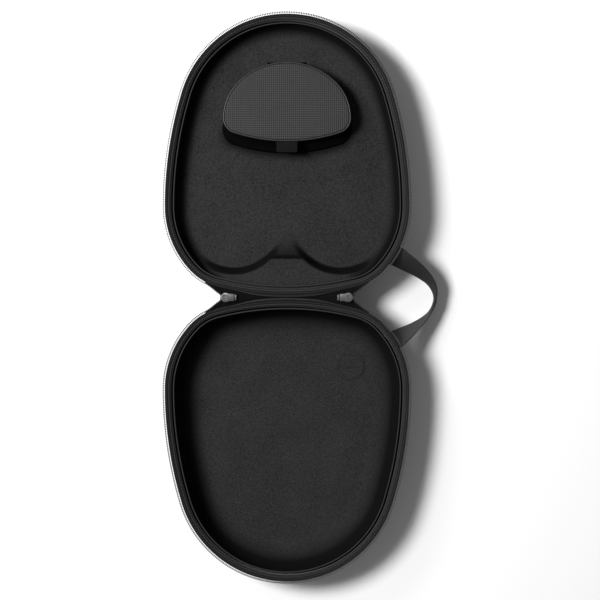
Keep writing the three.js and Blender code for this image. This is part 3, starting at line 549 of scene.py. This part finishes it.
LID_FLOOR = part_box("lid_lining")[0].z + LINING
LID_WALL_RUN = 12 * MM
CUP_CENTRE, CUP_RIM, CUP_WALL = (40.9 * MM, 58.1 * MM), 41.0 * MM, 6.4 * MM
SADDLE_EDGE, SADDLE_FOOT, SADDLE_HEIGHT = 29.5 * MM, 54 * MM, 0.88
SADDLE_FADE = (44 * MM, 70 * MM)


def ease(low, high, value):
    share = np.clip((value - low) / (high - low), 0, 1)
    return share * share * (3 - 2 * share)


def lid_height(x, d, inset):
    out = np.hypot(np.abs(x) - CUP_CENTRE[0], d - CUP_CENTRE[1]) - CUP_RIM
    fall = np.clip((d - SADDLE_EDGE) / (SADDLE_FOOT - SADDLE_EDGE), 0, 1)
    slope = (1 - fall) ** 2.6 * (1 - ease(0, 0.12, fall) * 0.25)
    saddle = SADDLE_HEIGHT * ease(-CUP_WALL, 0, out) * slope * (1 - ease(*SADDLE_FADE, np.abs(x)))
    return 1 - (1 - rounded_wall(inset, LID_WALL_RUN, 2.2)) * (1 - saddle)


lid_lining = lining("lid_lining_knit", 1, LID_FLOOR, lid_height, knit)
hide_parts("lid_lining")
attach(lid_lining, "lid")

foam = Finish("closed_cell_foam", Roughness=0.95, Specular_IOR_Level=0.2)
cells = foam.node("ShaderNodeTexVoronoi", None, Vector=foam.place(), Scale=1 / (0.7 * MM), out="Distance")
foam.set(Base_Color=foam.blend(cells, grey(0.012), grey(0.03)), Normal=foam.relief(cells, 0.2 * MM, 0.6))
insert = lining("lid_foam_insert", 1, LID_FLOOR, lid_height, foam, drop=LINING_SKIN + 0.1 * MM)
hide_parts("lid_insert")
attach(insert, "lid")


# ---- Zip tapes.
# Black woven twill tape, folded in over the rim of each shell and sewn to it. It leans outwards up to the
# coil, its inner edge is turned down into the seam beside the lining, and at the hinge the two nearly meet.

twill = Finish("twill_tape", Roughness=0.9, Specular_IOR_Level=0.08)
TWILL_PITCH = 1.5 * MM
along, across = twill.along_across()
ridges = ((along + across * 0.8) * (2 * math.pi / TWILL_PITCH)).sin() * 0.5 + 0.5
yarns = (across * (2 * math.pi / (1.3 * MM))).sin() * 0.5 + 0.5
fluff = twill.noise(0.7 * MM, 3.0, 0.7)
twill.set(
    Base_Color=twill.blend((ridges * yarns * 1.1 + fluff * 1.4 - 0.75).share(), grey(0.003), grey(0.042)),
    Normal=twill.relief(ridges + yarns * 0.6 + fluff * 0.4, 0.14 * MM, 0.8),
)


def swept_band(name, rows, finish, closed=True):
    """A closed section swept along rows of points. Its UV map is in metres: along the band, and round it."""
    points = np.stack(rows)
    rings, count = points.shape[:2]
    lengths = np.concatenate([[0], np.cumsum(np.linalg.norm(np.diff(points[0], axis=0), axis=1))])
    whole = lengths[-1] + np.linalg.norm(points[0][0] - points[0][-1])
    middle = count // 2
    steps = np.linalg.norm(np.diff(points[:, middle], axis=0, append=points[:1, middle]), axis=1)
    widths = np.concatenate([[0], np.cumsum(steps)])
    faces, uvs = [], []
    for r in range(rings):
        below = (r + 1) % rings
        for c in range(count if closed else count - 1):
            e = (c + 1) % count
            faces.append((r * count + c, r * count + e, below * count + e, below * count + c))
            right = whole if e == 0 else lengths[e]
            low, high = widths[r], widths[r + 1]
            uvs += [(lengths[c], low), (right, low), (right, high), (lengths[c], high)]
    if not closed:
        faces.append(tuple(r * count for r in reversed(range(rings))))
        faces.append(tuple(r * count + count - 1 for r in range(rings)))
        uvs += [(0, 0)] * (2 * rings)
    band = mesh_piece(name, points.reshape(-1, 3), faces, finish)
    layer = band.data.uv_layers.new(name="metres")
    layer.data.foreach_set("uv", np.array(uvs, np.float32).ravel())
    fold_outwards(band.data)
    return band


TAPE_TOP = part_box("lid_zip_tape")[1].z
TAPE_SECTION = [(1.9, 0.0), (3.1, -0.45), (4.5, -0.95), (5.7, -1.45), (6.35, -1.95), (6.6, -2.7), (6.4, -3.2),
                (5.9, -2.75), (5.4, -2.2), (4.3, -1.7), (3.0, -1.15), (1.9, -0.6)]
HINGE_MIDDLE = (20 * MM, 45 * MM)
TAPE_EDGE, TAPE_BEND, EDGE_SHIFT = 1.9, 3.2, 1.6 * MM
at_hinge = (1 - ease(*HINGE_MIDDLE, np.abs(RIM[:, 0]))) * (RIM[:, 1] < LENGTH / 4)
for side, half in ((-1, "base"), (1, "lid")):
    rows = []
    for inset, level in TAPE_SECTION:
        share = (TAPE_BEND - min(inset, TAPE_BEND)) / (TAPE_BEND - TAPE_EDGE)
        rows.append(rim_ring(inset * MM - at_hinge * EDGE_SHIFT * share, TAPE_TOP + level * MM, side))
    tape = swept_band(f"{half}_tape", rows, twill)
    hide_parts(f"{half}_zip_tape")
    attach(tape, half)


# ---- Stitching.
# A row of lockstitch in dark thread along each tape, where it is sewn to the shell, and one round the outside
# of each shell just under its rim.

thread = Finish("dark_thread", Roughness=0.6, Specular_IOR_Level=0.4)
thread.set(Base_Color=thread.blend(thread.noise(0.4 * MM), grey(0.02), grey(0.055)))


def repeat_tree():
    """Sets copies of one small piece along a line at an even pitch, each turned to the line."""
    bench, given = geometry_tree("repeat_along_line", {
        "Pitch": "Float", "Piece": "Object", "Unevenness": "Float", "Seed": "Int", "Cover": "Material",
    })
    line = bench.node("GeometryNodeMeshToCurve", None, given["Geometry"])
    even = bench.node("GeometryNodeResampleCurve", {"mode": "LENGTH"}, line, Length=given["Pitch"])
    tangent = bench.node("GeometryNodeInputTangent")
    turn = bench.node("FunctionNodeAlignRotationToVector", {"axis": "Y", "pivot_axis": "Z"}, Vector=tangent)
    piece = bench.node("GeometryNodeObjectInfo", None, given["Piece"], out="Geometry")
    spread = bench.tree.nodes.new("FunctionNodeRandomValue")
    spread.data_type = "FLOAT"
    low, high = [socket for socket in spread.inputs if socket.type == "VALUE" and socket.enabled][:2]
    bench.tree.links.new((1.0 - given["Unevenness"]).socket, low)
    bench.tree.links.new((1.0 + given["Unevenness"]).socket, high)
    bench.tree.links.new(given["Seed"].socket, spread.inputs["Seed"])
    size = Wire(next(socket for socket in spread.outputs if socket.type == "VALUE" and socket.enabled))
    placed = bench.node("GeometryNodeInstanceOnPoints", None, even, Instance=piece, Rotation=turn, Scale=size)
    whole = bench.node("GeometryNodeRealizeInstances", None, placed)
    covered = bench.node("GeometryNodeSetMaterial", None, whole, Material=given["Cover"])
    leave = bench.tree.nodes.new("NodeGroupOutput")
    bench.tree.links.new(covered.socket, leave.inputs[0])
    return bench.tree


REPEAT = repeat_tree()


def repeated(name, line, closed, piece, pitch, finish, unevenness=0.04, seed=3):
    return apply_tree(REPEAT, line_object(line, closed), name, {
        "Pitch": pitch, "Piece": piece, "Unevenness": unevenness, "Seed": seed, "Cover": finish.material,
    })


def small_tube(name, path, radius, sides, finish, closed=False):
    """A thin tube along a short path in a plane near x or z."""
    path = [Vector(p) for p in path]
    count = len(path)
    rings = []
    for k, p in enumerate(path):
        ahead = path[(k + 1) % count] if closed or k < count - 1 else p
        behind = path[k - 1] if closed or k > 0 else p
        direction = (ahead - behind).normalized()
        across = Vector((0, 1, 0.01)) if abs(direction.y) < 0.8 else Vector((1, 0, 0))
        side = direction.cross(across).normalized()
        other = direction.cross(side)
        turns = [2 * math.pi * s / sides for s in range(sides)]
        rings.append([p + (side * math.cos(a) + other * math.sin(a)) * radius for a in turns])
    points = [p for ring in rings for p in ring]
    faces = []
    for k in range(count if closed else count - 1):
        n = (k + 1) % count
        for s in range(sides):
            t = (s + 1) % sides
            faces.append((k * sides + s, k * sides + t, n * sides + t, n * sides + s))
    if not closed:
        faces += [tuple(range(sides))[::-1], tuple((count - 1) * sides + s for s in range(sides))]
    piece = mesh_piece(name, points, faces, finish)
    fold_outwards(piece.data)
    return piece


STITCH = 2.6 * MM
half_path = [(0, 0.7 * MM, 0.1 * MM), (0, 1.05 * MM, -0.14 * MM)]
stitch_path = [(x, -y, z) for x, y, z in half_path[::-1]] + half_path
stitch = small_tube("stitch", stitch_path, 0.2 * MM, 5, thread)
for side, half in ((-1, "base"), (1, "lid")):
    row = rim_ring(5.1 * MM, TAPE_TOP - 1.1 * MM, side)[::side]
    sewn = repeated(f"{half}_tape_stitches", row, True, stitch, STITCH, thread)
    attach(sewn, half)
    row = rim_ring(SHELL_INSET + 0.05 * MM, SHELL_RIM - 3.4 * MM, side)[::side]
    sewn = repeated(f"{half}_rim_stitches", row, True, stitch, STITCH, thread, seed=8)
    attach(sewn, half)
bpy.data.objects.remove(stitch)


# ---- Rim piping.
# A thin corded edge that closes the seam between each lining and its tape.

cord_cover = Finish("piping_cover", Roughness=0.75, Specular_IOR_Level=0.25, Sheen_Weight=0.03)
along, across = cord_cover.along_across()
twist = ((along + across * 1.4) * (2 * math.pi / (1.3 * MM))).sin() * 0.5 + 0.5
cord_weave = (twist * 0.7 + cord_cover.noise(0.9 * MM) * 0.7 - 0.25).share()
cord_cover.set(
    Base_Color=cord_cover.blend(cord_weave, grey(0.007), grey(0.036)),
    Normal=cord_cover.relief(twist, 0.12 * MM, 0.8),
)
PIPING_RADIUS, PIPING_INSET, PIPING_SIDES = 0.46 * MM, 8.5 * MM, 10
for side, half in ((-1, "base"), (1, "lid")):
    rows = []
    for k in range(PIPING_SIDES):
        a = 2 * math.pi * k / PIPING_SIDES
        level = LINING_EDGE + 0.3 * MM + PIPING_RADIUS * math.sin(a)
        rows.append(rim_ring(PIPING_INSET + PIPING_RADIUS * math.cos(a), level, side))
    piping = swept_band(f"{half}_piping", rows, cord_cover)
    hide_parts(f"{half}_rim_piping")
    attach(piping, half)


# ---- Zip coils.
# Grey nylon monofilament wound into teeth and sewn along the outer edge of each tape. The two coils meet in
# the sliders at the hinge.

nylon = Finish("nylon_coil", Roughness=0.38, Specular_IOR_Level=0.45)
nylon.set(
    Base_Color=nylon.blend(nylon.noise(1.5 * MM), grey(0.03), grey(0.08)),
    Roughness=nylon.noise(0.8 * MM) * 0.2 + 0.3,
)
COIL_PITCH, COIL_WIDTH, COIL_HEIGHT, WIRE = 1.3 * MM, 1.7 * MM, 2.0 * MM, 0.31 * MM
COIL_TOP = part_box("lid_zip_coil")[1].z
COIL_Z = COIL_TOP - COIL_HEIGHT / 2 - 0.1 * MM
slider_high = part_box("right_slider_body")[1]
MOUTH_X, MOUTH_D, MOUTH_ANGLE = slider_high.x - 0.6 * MM, 2.1 * MM, math.radians(32)
JOIN_X = 62 * MM


def coil_lead():
    """The coil's way from the slider's mouth out to the rim line, and the index of the point it joins at."""
    flat = RIM - OUTWARD * (COIL_WIDTH / 2)
    start = int(np.argmax((HEADINGS < math.pi) & (flat[:, 0] > JOIN_X)))
    a, b = np.array([MOUTH_X, MOUTH_D]), flat[start]
    span = np.linalg.norm(b - a)
    lean_a = span * np.array([math.cos(MOUTH_ANGLE), math.sin(MOUTH_ANGLE)])
    lean_b = span * (flat[start + 1] - b) / np.linalg.norm(flat[start + 1] - b)
    t = np.linspace(0, 1, 14)[:, None]
    lead = (2 * t**3 - 3 * t**2 + 1) * a + (t**3 - 2 * t**2 + t) * lean_a
    return lead + (3 * t**2 - 2 * t**3) * b + (t**3 - t**2) * lean_b, start


LEAD, LEAD_END = coil_lead()


def coil_line(side):
    """The middle of a coil, from the right-hand slider's mouth round to the left-hand one's."""
    flat = RIM - OUTWARD * (COIL_WIDTH / 2)
    rest = flat[LEAD_END:len(flat) - LEAD_END + 1]
    line = np.concatenate([LEAD[:-1], rest, LEAD[-2::-1] * (-1, 1)])
    return np.stack([line[:, 0], HINGE_Y + side * line[:, 1], np.full(len(line), COIL_Z)], 1)[::side]


tooth_path = []
for k in range(9):
    a = 2 * math.pi * k / 9
    wide, tall = COIL_WIDTH / 2 - WIRE, COIL_HEIGHT / 2 - WIRE
    tooth_path.append((wide * math.cos(a), 0.22 * MM * math.sin(a), tall * math.sin(a)))
tooth = small_tube("tooth", tooth_path, WIRE, 5, nylon, closed=True)
for side, half in ((-1, "base"), (1, "lid")):
    coil = repeated(f"{half}_coil", coil_line(side), False, tooth, COIL_PITCH, nylon, 0.0)
    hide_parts(f"{half}_zip_coil")
    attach(coil, half)
bpy.data.objects.remove(tooth)


# ---- Fabric hinge.
# The two tapes run together into one folded band of black fabric across the hinge line. It goes through the
# sliders, and beyond them it carries each coil out to its own rim.

GUSSET_THICKNESS = 0.7 * MM
GUSSET_TOP = PARTING_Z - 0.75 * MM
GUSSET_EDGE = TAPE_TOP - 0.25 * MM
UNDER_TAPE = 2.4 * MM
GUSSET_TUCK = 1.9 * MM
GUSSET_ROWS = 9
gusset_cloth = Finish("hinge_cloth", Roughness=0.95, Specular_IOR_Level=0.04)
gx = gusset_cloth.xyz()[0]
ribs = (gx * (2 * math.pi / (1.1 * MM))).sin() * 0.5 + 0.5
gusset_weave = (ribs * 0.4 + gusset_cloth.noise(1.2 * MM) * 0.8 - 0.2).share()
gusset_cloth.set(
    Base_Color=gusset_cloth.blend(gusset_weave, grey(0.0015), grey(0.007)),
    Normal=gusset_cloth.relief(ribs + gusset_cloth.noise(0.8 * MM), 0.15 * MM, 0.8),
)


def gusset_half(side, top):
    """Points of one half of the hinge cloth, in rows from its inner edge to under the tape."""
    stations = np.concatenate([np.linspace(0, MOUTH_X, 40), LEAD[1:, 0]])
    stations = np.concatenate([-stations[:0:-1], stations])
    front = HEADINGS < math.pi / 2
    outer = np.interp(np.abs(stations), RIM[front, 0], RIM[front, 1]) + UNDER_TAPE
    inner = np.where(np.abs(stations) > MOUTH_X, np.interp(np.abs(stations), LEAD[:, 0], LEAD[:, 1]), 0.0)
    inner = np.minimum(inner, outer - 0.3 * MM)
    rows = []
    for k in range(GUSSET_ROWS):
        share = k / (GUSSET_ROWS - 1)
        d = inner + (outer - inner) * share
        wave = 0.12 * MM * np.sin(stations / (3.1 * MM) + share * 2.0) * np.sin(math.pi * share)
        z = GUSSET_TOP + (GUSSET_EDGE - GUSSET_TOP) * share**1.5 + wave - (0 if top else GUSSET_THICKNESS)
        z = z - GUSSET_TUCK * (1 - ease(*HINGE_MIDDLE, np.abs(stations)))
        rows.append(np.stack([stations, HINGE_Y + side * d, z], 1))
    return rows


gusset = []
for side in (-1, 1):
    rows = gusset_half(side, True) + gusset_half(side, False)[::-1]
    gusset.append(swept_band(f"hinge_cloth_{side}", rows, gusset_cloth, False))
joined = bmesh.new()
for part in gusset:
    joined.from_mesh(part.data)
    bpy.data.objects.remove(part)
inner_faces = [f for f in joined.faces if all(abs(v.co.y - HINGE_Y) < 1e-6 for v in f.verts)]
bmesh.ops.delete(joined, geom=inner_faces, context="FACES_ONLY")
bmesh.ops.remove_doubles(joined, verts=joined.verts, dist=0.01 * MM)
bmesh.ops.holes_fill(joined, edges=[e for e in joined.edges if e.is_boundary], sides=0)
bmesh.ops.recalc_face_normals(joined, faces=joined.faces)
hinge_cloth = mesh_piece("hinge_cloth", [], [], gusset_cloth)
joined.to_mesh(hinge_cloth.data)
joined.free()
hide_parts("base_hinge_leaf", "lid_hinge_leaf")
HINGE_Y - 2 * MM
HINGE_Y + 2 * MM
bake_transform(hinge_cloth)


# ---- Sliders, pulls and end stops.
# Zinc die castings with a satin grey plating, so their edges are softly rounded. Each pull hangs down behind
# the hinge from the bridge under its slider.

satin = Finish("satin_metal", Metallic=0.75, Roughness=0.42)
satin.set(
    Base_Color=satin.blend(satin.noise(4 * MM), grey(0.075), grey(0.11)),
    Roughness=satin.noise(1.2 * MM, 3.0) * 0.16 + 0.36,
    Normal=satin.relief(satin.noise(0.5 * MM), 0.02 * MM, 0.5),
)


def soft_copy(node, name, finish, bevel, segments=3):
    """The CAD node's shape with its edges rounded."""
    mesh = frame["nodes"][node].data.copy()
    mesh.transform(frame["nodes"][node].matrix_world)
    work = bmesh.new()
    work.from_mesh(mesh)
    bmesh.ops.remove_doubles(work, verts=work.verts, dist=0.01 * MM)
    bmesh.ops.dissolve_limit(work, angle_limit=math.radians(1), verts=work.verts, edges=work.edges)
    for face in work.faces:
        face.smooth = True
    work.to_mesh(mesh)
    work.free()
    mesh.name = name
    mesh.materials.clear()
    mesh.materials.append(finish.material)
    piece = bpy.data.objects.new(name, mesh)
    scene.collection.objects.link(piece)
    edge = piece.modifiers.new("edges", "BEVEL")
    edge.width, edge.segments = bevel, segments
    edge.limit_method, edge.angle_limit = "ANGLE", math.radians(30)
    edge.use_clamp_overlap = True
    edge.harden_normals = True
    return piece


for side in ("right", "left"):
    for node, bevel, body in (("slider_body", 0.28 * MM, "slider"), ("slider_pull", 0.3 * MM, "pull"),
                              ("zip_end_stop", 0.35 * MM, "zip_end")):
        casting = soft_copy(f"{side}_{node}", f"{side}_{node}_cast", satin, bevel)
        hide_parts(f"{side}_{node}")
        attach(casting, f"{side}_{body}")


# ---- Cable pocket.
# A moulded tray glued to the lid's lining, with a board lid faced with fine mesh inside a plain rolled
# border, and a folded fabric tab to pull it open. The tray's cloth is coloured near black and its foot flares
# out widest at the front, as painted shade and shadow under the pocket, and the lining round its foot is
# coloured darker as painted shadow, most in front.

board_low, board_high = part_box("pocket_lid_board")
tray_low, tray_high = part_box("pocket_tray")
POCKET_FRONT = board_low.y
POCKET_HALF, POCKET_LONG = board_high.x, board_high.y - board_low.y
POCKET_CORNER, FRONT_TURN = 12 * MM, 18
front_sine = math.sin(math.radians(FRONT_TURN))
FRONT_RADIUS = (POCKET_HALF - POCKET_CORNER * (1 - front_sine)) / front_sine
POCKET_HEADINGS, POCKET = arc_outline(
    POCKET_HALF, POCKET_LONG, FRONT_RADIUS, POCKET_CORNER, (0, FRONT_TURN, 90, 135, 180), 300)
POCKET_OUT = np.stack([np.sin(POCKET_HEADINGS), -np.cos(POCKET_HEADINGS)], 1)


def pocket_ring(inset, z):
    flat = POCKET - POCKET_OUT * np.asarray(inset).reshape(-1, 1)
    return np.stack([flat[:, 0], POCKET_FRONT + flat[:, 1], np.full(len(flat), z)], 1)


# Painted shade: the tray's cloth is near black, darker than the lining, so that its flared foot stands in for
# the shade and shadow below the pocket.
tray_cloth_painted_dark = Finish("moulded_tray_cloth", Roughness=0.95, Specular_IOR_Level=0.04)
nap = tray_cloth_painted_dark.noise(0.7 * MM, 3.0, 0.7)
tray_cloth_painted_dark.set(Base_Color=tray_cloth_painted_dark.blend(nap, grey(0.0004), grey(0.002)), Normal=tray_cloth_painted_dark.relief(nap, 0.15 * MM, 0.7))
OVERHANG, TRAY_WALL, TRAY_THICK = 1.4 * MM, 1.8 * MM, 1.5 * MM
SIDE_FLARE, FRONT_SHADOW_FLARE = 1.2 * MM, 8.3 * MM
POCKET_SHADE_REACH, POCKET_SHADE_FADE, POCKET_SHADE_MOST = 4.5 * MM, 6 * MM, 0.9
FLARE_RINGS = 12
TRAY_RIM = [(0, 0.5), (0.15, 0.15), (0.5, 0), (1.3, 0), (1.65, 0.15), (1.8, 0.5)]
TRAY_CORNER = [(0, 1.2), (0.4, 0.4), (1.2, 0)]
# The foot flares out widest at the front: a near-black skirt that stands in for the pocket's shadow there.
spread = SIDE_FLARE + FRONT_SHADOW_FLARE * np.maximum(np.cos(POCKET_HEADINGS), 0) ** 1.5
tray_rings = []
for k in range(FLARE_RINGS):
    share = k / FLARE_RINGS
    level = tray_low.z + (tray_high.z - tray_low.z) * share
    tray_rings.append(pocket_ring(OVERHANG - spread * (1 - share) ** 2.4, level))
tray_rings += [pocket_ring(OVERHANG + i * MM, tray_high.z - z * MM) for i, z in TRAY_RIM]
tray_floor = tray_low.z + TRAY_THICK
tray_rings += [pocket_ring(OVERHANG + TRAY_WALL + i * MM, tray_floor + z * MM) for i, z in TRAY_CORNER]
pocket_tray = ringed_piece("pocket_tray_moulded", tray_rings, tray_cloth_painted_dark, closed=True)
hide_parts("pocket_tray")
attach(pocket_tray, "lid")

# Painted shadow: the lid lining's shade attribute is raised round the tray's foot, most in front, so the knit
# is coloured near black where the pocket's shadow falls.
lid_points = np.empty(len(lid_lining.data.vertices) * 3, np.float32)
lid_lining.data.vertices.foreach_get("co", lid_points)
lid_points = lid_points.reshape(-1, 3)[:, :2]
away = np.full(len(lid_points), np.inf)
for point, heading in zip(tray_rings[0][:, :2], POCKET_HEADINGS):
    off_front = POCKET_SHADE_FADE * (1 - max(math.cos(heading), 0))
    away = np.minimum(away, np.hypot(*(lid_points - point).T) + off_front)
shade_values = np.empty(len(lid_points), np.float32)
lid_layer = lid_lining.data.attributes["stretch"].data
lid_layer.foreach_get("value", shade_values)
shade_values = np.maximum(shade_values, POCKET_SHADE_MOST * np.exp(-((away / POCKET_SHADE_REACH) ** 2)))
lid_layer.foreach_set("value", shade_values.astype(np.float32))

border = Finish("rolled_border", Roughness=0.5, Specular_IOR_Level=0.5)
wear = border.noise(0.8 * MM, 3.0, 0.7)
border.set(Base_Color=border.blend(wear, grey(0.008), grey(0.024)), Normal=border.relief(wear, 0.1 * MM, 0.6))
low, high = board_low.z, board_high.z
BORDER = [(0.9, 0, 0), (0.3, 0, 0.3), (0, 0, 1.0), (0, 1, -1.1), (0.15, 1, -0.5), (0.4, 1, -0.15),
          (0.7, 1, 0), (1.0, 1, -0.1), (1.25, 1, -0.4), (1.35, 1, -0.75), (1.5, 1, -0.85)]
board_rings = [pocket_ring(i * MM, (high if top else low) + z * MM) for i, top, z in BORDER]
board = ringed_piece("pocket_lid_border", board_rings, border, closed=True)
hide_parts("pocket_lid_board")
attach(board, "pocket_lid")

netting = Finish("fine_mesh", Roughness=0.85, Specular_IOR_Level=0.12)
HOLE_PITCH = 1.5 * MM
nx, ny = netting.xyz()[:2]
columns = (nx * (2 * math.pi / HOLE_PITCH)).sin() * 0.5 + 0.5
holes = columns * ((ny * (2 * math.pi / (HOLE_PITCH * 1.15))).sin() * 0.5 + 0.5)
patches = (netting.noise(14 * MM) * 3.0 - 1.0).share()
holes = holes * (1.0 - patches) + columns * patches * 0.6
strands = netting.noise(0.5 * MM, 3.0, 0.7)
netting.set(
    Base_Color=netting.blend((holes * 1.2 + strands * 1.2 - 0.6).share(), grey(0.045), grey(0.006)),
    Normal=netting.relief(1.0 - holes + strands * 0.3, 0.25 * MM, 0.9),
)
facing_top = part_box("pocket_lid_facing")[1].z
FACING = [(1.65, -0.8), (1.5, -0.5), (1.65, -0.25), (2.2, -0.1), (3.6, -0.03), (8, 0.0)]
facing_rings = [pocket_ring(i * MM, facing_top + z * MM) for i, z in FACING]
facing = ringed_piece("pocket_lid_mesh", facing_rings, netting, closed=True)
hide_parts("pocket_lid_facing")
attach(facing, "pocket_lid")

tab_cloth = Finish("folded_tab_cloth", Roughness=0.9, Specular_IOR_Level=0.08)
tab_nap = tab_cloth.noise(0.8 * MM, 3.0, 0.7)
tab_cloth.set(Base_Color=tab_cloth.blend(tab_nap, grey(0.002), grey(0.009)))
tab = soft_copy("pocket_pull_tab", "pocket_pull_tab_folded", tab_cloth, 0.5 * MM)
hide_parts("pocket_pull_tab")
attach(tab, "pocket_lid")


# ---- Carrying strap.
# One length of ribbed webbing with a folded edge, sewn into the seam of each half. It falls and turns on its
# edge as it crosses the hinge line. Its end on the base is coloured lighter as painted light, for its face
# turned to the lamp.

PAINTED_LIGHT_END, PAINTED_LIGHT_FADE = 47 * MM, 8 * MM
webbing = Finish("ribbed_webbing", Roughness=0.85, Specular_IOR_Level=0.12)
along, across = webbing.along_across()
cords = (across * (2 * math.pi / (1.25 * MM))).sin() * 0.5 + 0.5
weave = (along * (2 * math.pi / (0.9 * MM))).sin() * 0.5 + 0.5
pattern = (cords * 0.7 + weave * cords * 0.2 + webbing.noise(0.7 * MM) * 0.5 - 0.15).share()
# Painted light: the base end of the strap is coloured lighter where its face turns to the lamp; past it the
# colour is scaled down to 0.36.
painted_light = 0.36 + 0.64 * ((PAINTED_LIGHT_END - along) / PAINTED_LIGHT_FADE).share()
webbing.set(
    Base_Color=webbing.blend(pattern * painted_light, grey(0.008), grey(0.095)),
    Normal=webbing.relief(cords + weave * 0.3, 0.25 * MM, 0.9),
)

STRAP_WIDTH, STRAP_THICKNESS = 16 * MM, 1.6 * MM
ROOT = Vector((HALF_WIDTH - 12.4 * MM, 32.1 * MM, PARTING_Z - 5.8 * MM))
MIDDLE = Vector((HALF_WIDTH + 19.6 * MM, 0, PARTING_Z - 29.2 * MM))
ROOT_HEADING = math.radians(35)
ROOT_PULL = {-1: (13 * MM, 21.5 * MM), 1: (13.5 * MM, 4 * MM)}
FACE_SHOWN, EDGE_UP_AT = {-1: 0.8, 1: 0.98}, {-1: 0.72, 1: 1.0}
SEAM_LENGTH, MIDDLE_PULL = 3 * MM, 15 * MM
EDGE_SIDES, EDGE_ROUND, FACE_ROUND = 40, 0.35, 0.5
LEAVING = Vector((math.cos(ROOT_HEADING), -math.sin(ROOT_HEADING), 0))
FOLD_AT, FOLD_RISE, FOLD_SPREAD = STRAP_WIDTH * 0.42, 0.22 * MM, 0.8 * MM


def strap_section(t, side):
    """The strap's rounded section at t, from 0 at the rim to 1 on the hinge line, and below 0 in the seam."""
    p0, p2, p3 = ROOT, MIDDLE + Vector((0, MIDDLE_PULL, 0)), MIDDLE
    out, down = ROOT_PULL[side]
    p1 = ROOT + LEAVING * out - Vector((0, 0, down))
    seam = LEAVING * SEAM_LENGTH if t < 0 else Vector()
    t = max(t, 0)
    u = 1 - t
    centre = p0 * u**3 + p1 * 3 * u * u * t + p2 * 3 * u * t * t + p3 * t**3 - seam
    along = ((p1 - p0) * u * u + (p2 - p1) * 2 * u * t + (p3 - p2) * t * t).normalized()
    level = Vector((0, 0, 1)).cross(along).normalized()
    tilt = math.acos(max(FACE_SHOWN[side] * (1 - t / EDGE_UP_AT[side]), 0))
    across = level * math.cos(tilt) + Vector((0, 0, math.sin(tilt)))
    across = (across - along * across.dot(along)).normalized()
    face = along.cross(across)
    section = []
    for k in range(EDGE_SIDES):
        a = 2 * math.pi * k / EDGE_SIDES
        ca, sa = math.cos(a), math.sin(a)
        w = math.copysign(abs(ca) ** EDGE_ROUND, ca) * STRAP_WIDTH / 2
        f = math.copysign(abs(sa) ** FACE_ROUND, sa) * STRAP_THICKNESS / 2
        fold = FOLD_RISE * math.exp(-(((abs(w) - FOLD_AT) / FOLD_SPREAD) ** 2)) * math.copysign(1, sa)
        p = centre + across * w + face * (f + fold)
        section.append((p.x, HINGE_Y + side * p.y, p.z))
    return section


stations = [-1, *np.linspace(0, 1, 34)]
sections = [strap_section(t, -1) for t in stations]
sections += [strap_section(t, 1) for t in stations[-2::-1]]
strap = swept_band("carrying_strap", np.array(sections).transpose(1, 0, 2), webbing, closed=False)
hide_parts("base_strap_half", "lid_strap_half")
HINGE_Y - 22 * MM
HINGE_Y + 22 * MM
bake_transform(strap)


# ---- Hidden pieces.
# The sleep magnet and its plastic holder lie under the base lining, the pocket's two magnets in its lid and
# tray, and a strip of fabric on the tray's back wall is the pocket lid's hinge.

ferrite = Finish("magnet_plating", Metallic=0.9, Roughness=0.3)
ferrite.set(Base_Color=ferrite.blend(ferrite.noise(3 * MM), grey(0.36), grey(0.46)))
plastic = Finish("holder_plastic", Roughness=0.5)
plastic.set(Base_Color=plastic.blend(plastic.noise(5 * MM), grey(0.03), grey(0.045)))
for node, bevel, finish, slot, body in (
    ("sleep_magnet", 0.2 * MM, ferrite, "magnet", "base"),
    ("magnet_holder", 0.2 * MM, plastic, "holder", "base"),
    ("pocket_tray_magnet", 0.15 * MM, ferrite, "magnet", "lid"),
    ("pocket_lid_magnet", 0.15 * MM, ferrite, "magnet", "pocket_lid"),
    ("pocket_hinge_strip", 0.25 * MM, tray_cloth_painted_dark, "pocket", "lid"),
):
    hidden = soft_copy(node, f"{node}_finished", finish, bevel)
    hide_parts(node)
    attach(hidden, body)
